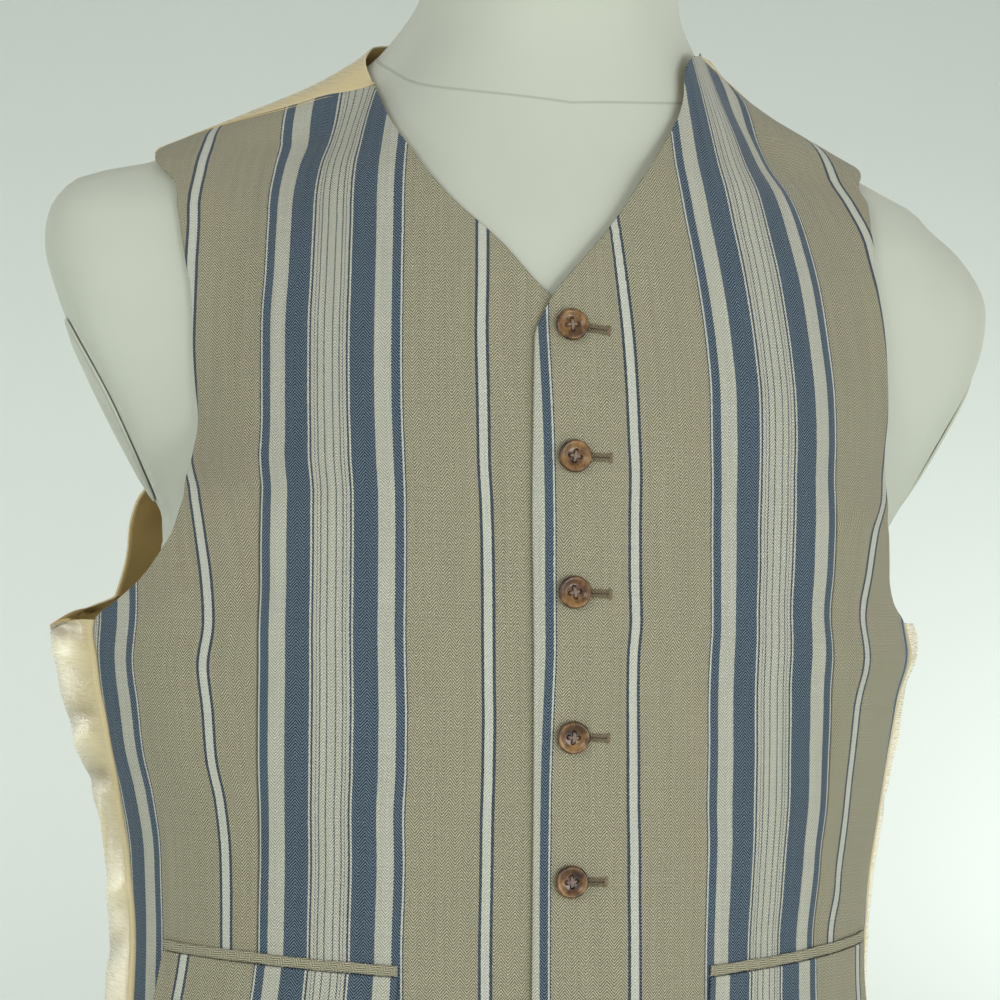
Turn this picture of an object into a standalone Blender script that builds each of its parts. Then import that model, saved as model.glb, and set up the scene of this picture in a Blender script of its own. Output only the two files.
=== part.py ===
"""A striped waistcoat buttoned on a limbless dress form.

Lengths in the tables are millimetres, angles are degrees about the upright axis.
Angle 0 is the centre front (-Y), 90 is the wearer's left side (+X), 180 the centre back.
"""

import bpy
import numpy as np
from mathutils import Matrix, Vector

MM = 0.001


def table(columns, rows):
    """A short table whose columns are looked up by name."""
    return {name: np.array([row[i] for row in rows], float) for i, name in enumerate(columns.split())}


# Driving dimensions
CLOTH_WALL = 1.8
SATIN_WALL = 1.4
FORM_GAP = 1.7
SHOULDER_GAP = 3.4
SHOULDER_FROM = 625.0
SHOULDER_TO = 645.0
SEAM_GAP = 0.9
PIECE_GAP = 0.4
LAP_LIFT = 2.5
LAP_FULL = 14.0
LAP_END = 34.0
BUTTON_WIDTH = 14.0
BUTTON_THICKNESS = 3.0
BUTTON_GAP = 0.4
BUTTON_STEPS = 16
JET_HEIGHT = 4.5
JET_WALL = 1.3
JET_RISE = 0.35
FLAP_HEIGHT = 46.0
FLAP_WALL = 1.6
FLAP_CORNER = 16.0
FLAP_CURL = 2.0
FLAP_SLANT = 7.0
PLATE_WALL = 3.0
PLATE_GAP = 0.4
PLATE_X = 224.5
PLATE_Z = 600.0
PLATE_SLOPE = 0.57
BOARD_Y = 8.0
BOARD_Z = 537.0
BOARD_HALF_Y = 26.0
BOARD_HALF_Z = 40.0
STUB_FROM = 172.0
STUB_FADE = 22.0
STUB_JOIN = 12.0
STUB_SOFT = 18
OVAL_POWER = 2.1
ARM_POWER = 3
JOIN_POWER = 8
WORN_FROM = 495.0
WORN_TO = 540.0

# Level sections of the dress form; the arm columns are the oval through both stubs
FORM = table("height half_width front back side_line arm_reach arm_depth", [
    (0, 168, 112, 124, 8, 1, 1),
    (60, 176, 116, 131, 8, 1, 1),
    (120, 178, 117, 129, 7, 1, 1),
    (200, 169, 113, 114, 4, 1, 1),
    (300, 154, 105, 97, 0, 1, 1),
    (380, 160, 112, 106, 0, 1, 1),
    (440, 166, 120, 115, 2, 110, 16),
    (474, 163, 122, 118, 4, 160, 30),
    (490, 163, 122, 120, 5, 182, 37),
    (510, 164, 121, 121, 6, 195, 43),
    (540, 165, 118, 122, 8, 212, 49),
    (570, 163, 112, 121, 10, 226, 53),
    (600, 156, 104, 118, 12, 222, 55),
    (624, 142, 96, 114, 13, 208, 53),
    (642, 124, 89, 109, 13, 186, 44),
    (655, 107, 84, 105, 12, 159, 36),
    (670, 93, 79, 99, 10, 127, 32),
    (685, 80, 75, 92, 6, 95, 29),
    (700, 69, 72, 84, 2, 72, 27),
    (714, 61, 71, 75, -2, 60, 24),
    (732, 57, 73, 63, -8, 40, 20),
    (755, 56, 77, 50, -14, 1, 1),
    (790, 55, 82, 40, -20, 1, 1),
])

# Level sections of the waistcoat where it hangs free of the form
HANG = table("height right left front back side_line", [
    (120, 186, 185, 128, 143, 6),
    (190, 182, 180, 124, 131, 4),
    (250, 179, 171, 122, 121, 2),
    (300, 178, 167.5, 121, 116, 0),
    (340, 181.5, 168.5, 121.5, 117, 0),
    (370, 190, 172, 123, 120, 0),
    (400, 201, 176, 125, 124, 1),
    (420, 206.5, 179, 126.5, 127, 2),
    (440, 208, 180.5, 127.5, 129, 3),
    (460, 210, 182, 127.5, 130, 4),
    (480, 208, 184, 125.6, 127, 5),
    (500, 202, 185, 123.8, 126, 6),
    (520, 190, 182, 122.5, 125, 7),
    (545, 180, 178, 120, 125, 9),
])

# A soft roll of cloth round the body under the armholes, by angle from the front
ROLL = table("angle height", [(0, 1.0), (25, 1.6), (45, 3.2), (65, 4.4), (90, 3.4), (120, 2.5), (150, 1.5), (180, 1.0)])
ROLL_AT = 443.0
ROLL_SPREAD = 13.0
DENT_AT = 468.0
DENT_SHARE = 0.3

# Front edge and neckline of each front, from the hem point to the neck end of the shoulder
FRONT_EDGE = {
    "left": table("angle height", [
        (25, 140), (9.5, 205), (-2.6, 262), (-3.3, 300), (-4.2, 346), (-5.3, 401), (-6.6, 463), (-7.8, 526),
        (-8.2, 573), (-6.8, 582), (-4.8, 591), (1, 606), (7.8, 622), (16.2, 643), (25.2, 662), (36.2, 682),
        (43, 696), (54, 704), (66, 706),
    ]),
    "right": table("angle height", [
        (15, 140), (0, 205), (-12.5, 262), (-12, 300), (-11, 346), (-9.6, 401), (-8.4, 463), (-7.7, 526),
        (-7, 569), (-3, 580), (4.8, 591), (16, 614), (27.5, 632), (42.2, 656), (58.2, 676), (66.5, 683),
    ]),
}

# Side seam and front armhole of each front, from the hem to the shoulder tip
FRONT_SIDE = {
    "left": table("angle height", [
        (75, 185), (75, 250), (74, 310), (73, 380), (72, 430), (71.5, 458), (67.8, 466), (64.8, 480), (63.7, 501),
        (66, 512), (68.6, 528), (69.3, 550), (69, 574), (69, 600), (70.2, 616), (73.2, 635), (77, 650), (84, 659),
        (91, 664),
    ]),
    "right": table("angle height", [
        (74, 185), (75.5, 250), (76.2, 310), (77, 345), (75.2, 385), (74.4, 405), (74.3, 422), (73.9, 435), (73, 446),
        (70.5, 453), (67.5, 463), (65, 475), (63.2, 486), (62.8, 498), (65, 510), (67.6, 524), (69, 542), (69.8, 560), (70.3, 576),
        (71.2, 592), (73.5, 614), (76.5, 632), (86.2, 651),
    ]),
}

# Shoulder seam, from the neck end to the tip
SHOULDER = {
    "left": table("angle height", [(66, 706), (81, 696), (88, 686), (91, 677), (92, 670), (91, 664)]),
    "right": table("angle height", [
        (66.5, 683), (76.8, 678), (79.8, 672), (82.8, 666), (85, 661), (86.3, 656), (86.2, 651),
    ]),
}

# Back armhole from the side seam to the shoulder tip
BACK_ARMHOLE = {
    "left": table("angle height", [
        (71.5, 458), (98, 460), (107, 467), (112, 488), (115, 515), (120, 545), (121, 572), (118, 605), (112, 635),
        (104, 652), (91, 664),
    ]),
    "right": table("angle height", [
        (73, 446), (107, 449.5), (111.5, 453), (112, 468), (111.5, 487), (112, 510), (116, 538), (122.5, 566),
        (118, 603), (112, 628), (103, 643), (95, 649), (86.2, 651),
    ]),
}

# How the cloth under each back armhole hangs down: middle angle, width, depth, and heights of its rise and end
SAG = {"left": (93, 13, 3, 380, 440, 520), "right": (93, 13, 10, 380, 440, 520)}

# Back neckline from the neck end of the shoulder to the centre back
BACK_NECK = {
    "left": table("angle height", [(66, 706), (86, 705), (110, 706), (145, 711), (180, 713)]),
    "right": table("angle height", [(66.5, 683), (88, 701), (115, 708), (150, 712), (180, 713)]),
}
SEAM_FROM = 0.78
CENTRE_BACK = table("share height", [(0, 196), (0.4, 442), (0.6, 548), (0.78, 668), (1, 713)])
BACK_HEM = table("angle height", [(76, 185), (120, 188), (180, 196)])

# Pocket mouths: inner and outer end as angle and height
POCKETS = {
    "left": (32.8, 308.0, 71.2, 318.0),
    "right": (28.8, 305.0, 68.8, 307.0),
}

# Buttons down the lap: angle and height
BUTTONS = table("angle height", [(-1, 578), (0, 524), (0.8, 467), (2, 407), (3.4, 346), (4.8, 285)])

# Turned profile of a button, centre to rim: share of the radius and height above its back
BUTTON_PROFILE = table("radius height", [
    (0, 1.9), (0.5, 1.9), (0.66, 2.4), (0.8, 3.0), (0.92, 2.7), (1, 1.7), (0.95, 0.7), (0.7, 0.0), (0, 0.0),
])

# Mesh counts and small finishing sizes
FRONT_COLUMNS = 12
BACK_COLUMNS = 12
BACK_CROWD = 1.35
ROW_LEVELS = table("step share", [
    (0, 0), (4, 0.18), (8, 0.38), (11, 0.48), (17, 0.60), (24, 0.80), (34, 1.0),
])
BACK_ROWS = table("step share", [
    (0, 0), (4, 0.20), (8, 0.38), (11, 0.45), (16, 0.60), (22, 0.78),
])
FORM_COLUMNS = 56
FORM_LEVELS = (0, 60, 120, 200, 300, 380, 440, 474, 484, 500, 520, 545, 570, 590, 606, 620, 632, 643, 654, 664,
               675, 688, 702, 716, 734, 758, 783, 790)
JET_COLUMNS = 8
JET_ROWS = 4
FLAP_COLUMNS = 12
FLAP_ROWS = 4
FLAP_WIDTH = 140.0
NECK_TOP_SHARE = 0.88
PLATE_STEPS = 32
PLATE_EDGE = 2.5
PLATE_SOFT = 1.5

SLOW_FROM = 0.8
SLOW_POWER = 1.8

# How much further each stub of the form stands out past the armhole than an even one
STUB_GROWTH = {
    "right": table("height reach", [(560, 0), (590, 3), (610, 8), (624, 13), (642, 19), (655, 26)]),
    "left": table("height reach", [(560, 0), (600, -4), (624, -6), (642, -7), (655, -6)]),
}

# Plain colours, refined in the scene
CLOTH_COLOUR = (0.36, 0.33, 0.21)
SATIN_COLOUR = (0.55, 0.42, 0.18)
FORM_COLOUR = (0.62, 0.63, 0.57)
BUTTON_COLOUR = (0.16, 0.1, 0.06)


def curve(knots, values, at):
    """Monotone cubic curve through the knots, held level past its ends."""
    at = np.clip(np.asarray(at, float), knots[0], knots[-1])
    step = np.diff(knots)
    rise = np.diff(values) / step
    slope = np.zeros(len(knots))
    slope[0], slope[-1] = rise[0], rise[-1]
    both = rise[:-1] * rise[1:]
    slope[1:-1] = np.where(both > 0, 2 * both / np.where(both > 0, rise[:-1] + rise[1:], 1), 0)
    i = np.clip(np.searchsorted(knots, at, side="right") - 1, 0, len(knots) - 2)
    t = (at - knots[i]) / step[i]
    return (
        values[i] * (1 + 2 * t) * (1 - t) ** 2
        + slope[i] * step[i] * t * (1 - t) ** 2
        + values[i + 1] * t * t * (3 - 2 * t)
        + slope[i + 1] * step[i] * t * t * (t - 1)
    )


def ease(x):
    """Smooth step from 0 to 1."""
    x = np.clip(x, 0, 1)
    return x * x * (3 - 2 * x)


def oval(angle, right, left, front, back, side_line):
    """Distance from the side line to a rounded oval, by angle."""
    s, c = np.sin(angle), np.cos(angle)
    wide = np.where(s < 0, right, left)
    deep = np.where(c > 0, front + side_line, back - side_line)
    return ((np.abs(s) / wide) ** OVAL_POWER + (np.abs(c) / deep) ** OVAL_POWER) ** (-1 / OVAL_POWER)


def ring(angle, z, reach, side_line):
    """Points at a distance from the side line."""
    x = reach * np.sin(angle)
    y = side_line - reach * np.cos(angle)
    return np.stack(np.broadcast_arrays(x, y, z), -1).astype(float)


def form_point(angle, z):
    """Point on the dress form: the torso oval joined softly with the oval of the arm stubs."""
    g = {name: curve(FORM["height"], values, z) for name, values in FORM.items()}
    torso = oval(angle, g["half_width"], g["half_width"], g["front"], g["back"], g["side_line"])
    s, c = np.abs(np.sin(angle)), np.abs(np.cos(angle))
    arm = ((s / g["arm_reach"]) ** ARM_POWER + (c / g["arm_depth"]) ** ARM_POWER) ** (-1 / ARM_POWER)
    return ring(angle, z, (torso ** JOIN_POWER + arm ** JOIN_POWER) ** (1 / JOIN_POWER), g["side_line"])


def form_skin(angle, z):
    """The form with its stubs cut along a slanting flat that is rounded over and spares the torso."""
    p = form_point(angle, z)
    growth = {side: curve(rows["height"], rows["reach"], z) for side, rows in STUB_GROWTH.items()}
    reach = np.maximum(np.abs(p[..., 0]), 1)
    grown = np.where(p[..., 0] < 0, growth["right"], growth["left"])
    reach = reach + grown * ease((reach - STUB_FROM) / STUB_FADE)
    g = {name: curve(FORM["height"], values, z) for name, values in FORM.items()}
    torso = oval(angle, g["half_width"], g["half_width"], g["front"], g["back"], g["side_line"])
    torso = np.maximum(torso * np.abs(np.sin(angle)), 1)
    limit = np.maximum(PLATE_X - PLATE_SLOPE * (PLATE_Z - z), torso)
    soft = (reach ** -STUB_SOFT + limit ** -STUB_SOFT) ** (-1 / STUB_SOFT)
    cut = reach + (soft - reach) * ease((reach - torso) / STUB_JOIN)
    p[..., 0] = np.where(np.abs(p[..., 0]) < 1, p[..., 0], np.sign(p[..., 0]) * cut)
    return p


def hang_point(angle, z):
    """Point on the cloth where it hangs free."""
    g = {name: curve(HANG["height"], values, z) for name, values in HANG.items()}
    free = oval(angle, g["right"], g["left"], g["front"], g["back"], g["side_line"])
    roll = curve(ROLL["angle"], ROLL["height"], np.abs(np.degrees(angle)))
    rise = np.exp(-(((z - ROLL_AT) / ROLL_SPREAD) ** 2)) - DENT_SHARE * np.exp(-(((z - DENT_AT) / ROLL_SPREAD) ** 2))
    return ring(angle, z, free + roll * rise, g["side_line"])


def outward(point, angle, z):
    """Unit normal of a surface given by angle and height."""
    turn, lift = 1e-3, 0.2
    across = point(angle + turn, z) - point(angle - turn, z)
    up = point(angle, z + lift) - point(angle, z - lift)
    n = np.cross(across, up)
    return n / np.linalg.norm(n, axis=-1, keepdims=True)


def cloth_point(angle, z):
    """Outer face of the cloth: seated on the shoulders and chest, hanging free below."""
    z = np.asarray(z, float)
    gap = FORM_GAP + (SHOULDER_GAP - FORM_GAP) * ease((z - SHOULDER_FROM) / (SHOULDER_TO - SHOULDER_FROM))
    worn = form_point(angle, z) + outward(form_point, angle, z) * (CLOTH_WALL + gap)[..., None]
    share = ease((z - WORN_FROM) / (WORN_TO - WORN_FROM))[..., None]
    return hang_point(angle, z) * (1 - share) + worn * share


def lap_lift(angle):
    """How far the left front stands out over the right one, fading away from the closure."""
    return LAP_LIFT * (1 - ease((np.degrees(angle) - LAP_FULL) / (LAP_END - LAP_FULL)))


def front_point(side, angle, z, out=0.0):
    """Point on the outer face of one front, moved out by a distance."""
    lift = lap_lift(angle) if side == "left" else 0.0
    return cloth_point(angle, z) + outward(cloth_point, angle, z) * np.asarray(lift + out)[..., None]


def slowed(share):
    """Share of a rise, slowing towards 1 so that rows close up where an edge turns over the shoulder."""
    late = np.clip((share - SLOW_FROM) / (1 - SLOW_FROM), 0, 1)
    return np.where(share > SLOW_FROM, SLOW_FROM + (1 - SLOW_FROM) * (1 - (1 - late) ** SLOW_POWER), share)


def along(edge, share):
    """Angle and height at a share of the edge's rise."""
    z = edge["height"][0] + (edge["height"][-1] - edge["height"][0]) * slowed(share)
    return curve(edge["height"], edge["angle"], z), z


def across(edge, share):
    """Angle and height at a share of the way along a level-running edge."""
    steps = np.linspace(0, 1, len(edge["angle"]))
    return curve(steps, edge["angle"], share), curve(steps, edge["height"], share)


def blend_patch(first, last, bottom, top, s, t):
    """Grid of angle and height filled in from its four edges."""
    out = []
    for k in (0, 1):
        a, b, c, d = first[k][:, None], last[k][:, None], bottom[k][None, :], top[k][None, :]
        ruled = a * (1 - s) + b * s + c * (1 - t) + d * t
        corners = a[0] * (1 - s) * (1 - t) + b[0] * s * (1 - t) + a[-1] * (1 - s) * t + b[-1] * s * t
        out.append(ruled - corners)
    return out


def row_shares():
    """Shares of the rise where the rows of a panel lie, closer together at the roll of cloth."""
    steps = np.arange(int(ROW_LEVELS["step"][-1]) + 1)
    return curve(ROW_LEVELS["step"], ROW_LEVELS["share"], steps)


def seam_degrees(angle, z):
    """Half the seam gap as an angle at a point."""
    p = cloth_point(np.radians(angle), z)
    return np.degrees(SEAM_GAP / 2 / np.hypot(p[..., 0], p[..., 1]))


def front_grid(side):
    """Angle and height of one front's grid; the wearer's right side has negative angles."""
    rows = row_shares()
    s = np.linspace(0, 1, FRONT_COLUMNS + 1)[None, :]
    first = along(FRONT_EDGE[side], rows)
    last = along(FRONT_SIDE[side], rows)
    seam = across(SHOULDER[side], s[0])
    hem = [first[k][0] + (last[k][0] - first[k][0]) * s[0] for k in (0, 1)]
    seam = (seam[0] - seam_degrees(*seam), seam[1])
    last = (last[0] - seam_degrees(*last), last[1])
    for k in (0, 1):
        first[k][-1], last[k][-1], hem[k][-1] = seam[k][0], seam[k][-1], last[k][0]
    angle, z = blend_patch(first, last, hem, seam, s, rows[:, None])
    sign = -1 if side == "right" else 1
    return np.radians(angle) * sign, z


def back_edge(side, rows):
    """Side seam, back armhole and shoulder seam of one back half: angle and height of each row."""
    front, armhole, seam = FRONT_SIDE[side], BACK_ARMHOLE[side], SHOULDER[side]
    rise = rows / SEAM_FROM
    z = front["height"][0] + (seam["height"][-1] - front["height"][0]) * slowed(np.minimum(rise, 1))
    corner = armhole["height"][0]
    angle = np.where(
        z < corner,
        curve(front["height"], front["angle"], z),
        curve(armhole["height"], armhole["angle"], z),
    )
    on_seam = rows >= SEAM_FROM
    seam_angle, seam_z = across(seam, 1 - (rows - SEAM_FROM) / (1 - SEAM_FROM))
    return np.where(on_seam, seam_angle, angle), np.where(on_seam, seam_z, z)


def sag(side, angle, z):
    """How far the cloth under an armhole hangs down: a bell round the side, faded below and above."""
    middle, width, depth, low, high, end = SAG[side]
    bell = np.exp(-((angle - middle) / width) ** 2)
    return depth * bell * ease((z - low) / (high - low)) * (1 - ease((z - high - 20) / (end - high - 20)))


def back_grid(side):
    """Angle and height of one back half's grid, from the side to the centre back."""
    rows = curve(BACK_ROWS["step"], BACK_ROWS["share"], np.arange(int(BACK_ROWS["step"][-1]) + 1))
    rows = np.concatenate([rows, np.linspace(SEAM_FROM, 1, FRONT_COLUMNS + 1)[1:]])
    s = np.linspace(0, 1, BACK_COLUMNS + 1)[None, :] ** BACK_CROWD
    angle, z = back_edge(side, rows)
    first = (angle + seam_degrees(angle, z), z)
    middle = 180 - np.degrees(SEAM_GAP / 2 / 75)
    last = (np.full(len(rows), middle), curve(CENTRE_BACK["share"], CENTRE_BACK["height"], rows))
    hem = across(BACK_HEM, s[0])
    neck = across(BACK_NECK[side], s[0])
    for edge_row, end in ((hem, 0), (neck, -1)):
        edge_row[0][0], edge_row[0][-1] = first[0][end], middle
        edge_row[1][0], edge_row[1][-1] = first[1][end], last[1][end]
    angle, z = blend_patch(first, last, hem, neck, s, rows[:, None])
    z = z - sag(side, angle, z)
    sign = -1 if side == "right" else 1
    return np.radians(angle) * sign, z


def clear_scene():
    """Remove everything a new file holds."""
    for thing in list(bpy.data.objects):
        bpy.data.objects.remove(thing, do_unlink=True)
    for group in list(bpy.data.collections):
        bpy.data.collections.remove(group)


def make_collection(name):
    """A collection linked to the scene."""
    group = bpy.data.collections.new(name)
    bpy.context.scene.collection.children.link(group)
    return group


def add_object(group, name, points, faces, colour, roughness):
    """An object with its own material, from points in millimetres."""
    mesh = bpy.data.meshes.new(name)
    mesh.from_pydata((np.asarray(points) * MM).tolist(), [], faces)
    mesh.update()
    paint = bpy.data.materials.new(name)
    paint.use_nodes = True
    shader = paint.node_tree.nodes["Principled BSDF"]
    shader.inputs["Base Color"].default_value = (*colour, 1)
    shader.inputs["Roughness"].default_value = roughness
    mesh.materials.append(paint)
    mesh.polygons.foreach_set("use_smooth", [True] * len(mesh.polygons))
    thing = bpy.data.objects.new(name, mesh)
    group.objects.link(thing)
    return thing


def grid_faces(rows, columns, outward_first):
    """Four-sided faces of a grid of points stored row by row."""
    faces = []
    for r in range(rows - 1):
        for c in range(columns - 1):
            a = r * columns + c
            face = (a, a + 1, a + columns + 1, a + columns)
            faces.append(face if outward_first else face[::-1])
    return faces


def add_sheet(group, name, grid, wall, colour, roughness, turned):
    """A cloth piece: the grid is its outer face and the wall is laid on inward."""
    rows, columns = grid.shape[:2]
    thing = add_object(group, name, grid.reshape(-1, 3), grid_faces(rows, columns, turned), colour, roughness)
    wall_maker = thing.modifiers.new("wall", "SOLIDIFY")
    wall_maker.thickness = wall * MM
    wall_maker.offset = -1
    wall_maker.use_quality_normals = True
    return thing


def make_front(group, side):
    """One front, from the shoulder to the pointed hem."""
    angle, z = front_grid(side)
    add_sheet(group, "front_" + side, front_point(side, angle, z), CLOTH_WALL, CLOTH_COLOUR, 0.85, side == "left")


def make_back(group, side):
    """One half of the satin back."""
    angle, z = back_grid(side)
    add_sheet(group, "back_" + side, cloth_point(angle, z), SATIN_WALL, SATIN_COLOUR, 0.4, side == "right")


def pocket_line(side, share):
    """Angle and height along a pocket mouth."""
    inner, inner_z, outer, outer_z = POCKETS[side]
    sign = -1 if side == "right" else 1
    return np.radians(inner + (outer - inner) * share) * sign, inner_z + (outer_z - inner_z) * share


def make_jet(group, side):
    """The narrow rounded strip along a pocket mouth."""
    s = np.linspace(0, 1, JET_COLUMNS + 1)[None, :]
    drop = np.linspace(-0.5, 0.5, JET_ROWS + 1)[:, None]
    angle, z = pocket_line(side, s)
    bulge = JET_RISE + JET_WALL - 0.45 * (2 * drop) ** 2
    grid = front_point(side, angle + 0 * drop, z + drop * JET_HEIGHT, bulge + 0 * s)
    wall = JET_WALL - 0.45
    add_sheet(group, "pocket_jet_" + side, grid, wall, CLOTH_COLOUR, 0.85, side == "left")


def make_flap(group, side):
    """The flap that hangs from under the jet, with rounded lower corners."""
    s = np.linspace(0, 1, FLAP_COLUMNS + 1)[None, :]
    t = np.linspace(0, 1, FLAP_ROWS + 1)[:, None]
    inner, _, outer, _ = POCKETS[side]
    width = abs(outer - inner)
    top = -JET_HEIGHT / 2 - PIECE_GAP
    length = np.linspace(0, 1, FLAP_COLUMNS + 1)[None, :] * FLAP_WIDTH
    near = np.minimum(length, FLAP_WIDTH - length)
    lack = FLAP_CORNER - np.sqrt(np.maximum(FLAP_CORNER ** 2 - np.maximum(FLAP_CORNER - near, 0) ** 2, 0))
    drop = top - (FLAP_HEIGHT - lack) * t
    angle, z = pocket_line(side, s)
    slant = np.radians(FLAP_SLANT / FLAP_WIDTH * width) * (-drop / FLAP_HEIGHT) * s
    sign = -1 if side == "right" else 1
    out = PIECE_GAP + FLAP_WALL + FLAP_CURL * t ** 2
    grid = front_point(side, angle + sign * slant, z + drop, out + 0 * s)
    add_sheet(group, "pocket_flap_" + side, grid, FLAP_WALL, CLOTH_COLOUR, 0.85, side == "right")


def make_button(group, number):
    """A dished button, turned about its own axis and laid on the lap."""
    angle = np.radians(BUTTONS["angle"][number])
    z = BUTTONS["height"][number]
    profile = np.stack([
        BUTTON_PROFILE["radius"] * BUTTON_WIDTH / 2,
        np.zeros(len(BUTTON_PROFILE["radius"])),
        BUTTON_PROFILE["height"] / BUTTON_PROFILE["height"].max() * BUTTON_THICKNESS,
    ], -1)
    thing = add_object(group, "button_" + str(number + 1), profile, [], BUTTON_COLOUR, 0.25)
    mesh = thing.data
    mesh.clear_geometry()
    links = [(i, i + 1) for i in range(len(profile) - 1)]
    mesh.from_pydata((profile * MM).tolist(), links, [])
    turn = thing.modifiers.new("turn", "SCREW")
    turn.axis = "Z"
    turn.steps = turn.render_steps = BUTTON_STEPS
    turn.use_merge_vertices = True
    turn.merge_threshold = 0.00005
    turn.use_smooth_shade = True
    spot = front_point("left", angle, z, BUTTON_GAP)
    facing = outward(cloth_point, angle, z)
    frame = Vector(facing.tolist()).to_track_quat("Z", "Y").to_matrix().to_4x4()
    thing.matrix_world = Matrix.Translation(Vector((spot * MM).tolist())) @ frame


def even_angles(level):
    """Angles that space the points of one section of the form evenly along it."""
    fine = np.linspace(0, 2 * np.pi, 1441)
    p = form_point(fine, level)
    length = np.concatenate([[0], np.cumsum(np.linalg.norm(np.diff(p, axis=0), axis=1))])
    return np.interp(np.linspace(0, length[-1], FORM_COLUMNS, endpoint=False), length, fine)


def make_form_body(group):
    """Torso and neck as one smooth loft, cut flat at the stubs, the base and the neck top."""
    z = np.array(FORM_LEVELS, float)[:, None]
    angle = np.stack([even_angles(level) for level in FORM_LEVELS])
    grid = form_skin(angle, z)
    grid[-1, :, :2] *= NECK_TOP_SHARE
    rows, columns = grid.shape[:2]
    faces = []
    for r in range(rows - 1):
        for c in range(columns):
            a, b = r * columns + c, r * columns + (c + 1) % columns
            faces.append((a, b, b + columns, a + columns))
    faces.append(tuple(range(columns))[::-1])
    faces.append(tuple(range((rows - 1) * columns, rows * columns)))
    add_object(group, "form_body", grid.reshape(-1, 3), faces, FORM_COLOUR, 0.7)


def make_plate(group, side):
    """The thin oval board that closes an arm stub."""
    turn = np.linspace(0, 2 * np.pi, PLATE_STEPS, endpoint=False)
    sign = -1 if side == "right" else 1
    lean = np.hypot(1, PLATE_SLOPE)
    points, faces = [], []
    layers = ((0, PLATE_EDGE), (PLATE_SOFT, 0), (PLATE_WALL - PLATE_SOFT, 0), (PLATE_WALL, PLATE_EDGE))
    for depth, inset in layers:
        ty = BOARD_Y + (BOARD_HALF_Y - inset) * np.sin(turn)
        tz = BOARD_Z + (BOARD_HALF_Z - inset) * np.cos(turn)
        move = PLATE_GAP + depth
        x = PLATE_X - PLATE_SLOPE * (PLATE_Z - tz) + move / lean
        points.append(np.stack([sign * x, ty, tz - move * PLATE_SLOPE / lean], -1))
    for layer in range(len(layers) - 1):
        for c in range(PLATE_STEPS):
            a, b = layer * PLATE_STEPS + c, layer * PLATE_STEPS + (c + 1) % PLATE_STEPS
            face = (a, b, b + PLATE_STEPS, a + PLATE_STEPS)
            faces.append(face if side == "right" else face[::-1])
    ends = (tuple(range(PLATE_STEPS)), tuple(range((len(layers) - 1) * PLATE_STEPS, len(layers) * PLATE_STEPS)))
    faces.append(ends[0][::-1] if side == "right" else ends[0])
    faces.append(ends[1] if side == "right" else ends[1][::-1])
    add_object(group, "form_arm_plate_" + side, np.concatenate(points), faces, FORM_COLOUR, 0.7)


def main():
    """Build every piece of the waistcoat and the form it rests on."""
    clear_scene()
    part = make_collection("part")
    make_collection("cutters")
    make_form_body(part)
    for side in ("left", "right"):
        make_plate(part, side)
        make_back(part, side)
        make_front(part, side)
        make_jet(part, side)
        make_flap(part, side)
    for number in range(len(BUTTONS["angle"])):
        make_button(part, number)


main()
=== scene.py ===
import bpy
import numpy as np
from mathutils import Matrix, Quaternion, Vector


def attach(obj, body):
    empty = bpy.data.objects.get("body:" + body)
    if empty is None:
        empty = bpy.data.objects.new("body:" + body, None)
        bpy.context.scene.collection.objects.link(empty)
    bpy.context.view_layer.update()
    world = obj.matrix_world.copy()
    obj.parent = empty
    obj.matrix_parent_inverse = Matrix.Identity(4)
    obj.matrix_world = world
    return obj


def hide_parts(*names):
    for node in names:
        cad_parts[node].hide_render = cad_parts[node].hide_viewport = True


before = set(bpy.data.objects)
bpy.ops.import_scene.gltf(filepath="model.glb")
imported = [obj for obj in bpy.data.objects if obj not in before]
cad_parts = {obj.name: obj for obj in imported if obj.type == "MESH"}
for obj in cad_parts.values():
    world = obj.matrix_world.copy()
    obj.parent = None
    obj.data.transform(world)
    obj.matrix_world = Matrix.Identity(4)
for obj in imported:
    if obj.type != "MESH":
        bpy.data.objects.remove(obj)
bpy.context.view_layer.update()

# %% [markdown]
# # A striped gilet on a limbless dress form
#
# The real thing is a tailored gilet: two herringbone fronts with woven stripes, a glossy satin back, flap
# pockets and horn buttons, worn by a smooth cloth-covered form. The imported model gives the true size. Each
# cloth piece is made again here as a fine thin shell on the same curves, so that weave, creases and turned
# edges can show, and the coarse solid under it is hidden. Lengths in the tables are millimetres and angles
# are degrees: 0 is the centre front, 90 the wearer's left.

MM = 0.001
SIDES = {"left": 1, "right": -1}

# %% [markdown]
# ## The section curves
#
# A tailor's form is described by sections: at each height a rounded oval for the torso, joined softly with
# a second oval for the arm stubs. The cloth has its own table where it hangs free below the chest.
# Sculpting would give the same look, but a table can be measured and changed, so the curves stay numbers.


# %% Tables of the form and of the hanging cloth
def table(columns, rows):
    """Named columns from rows of numbers, so that a row can be read across."""
    return {name: np.array(values, float) for name, values in zip(columns.split(), zip(*rows))}


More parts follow.
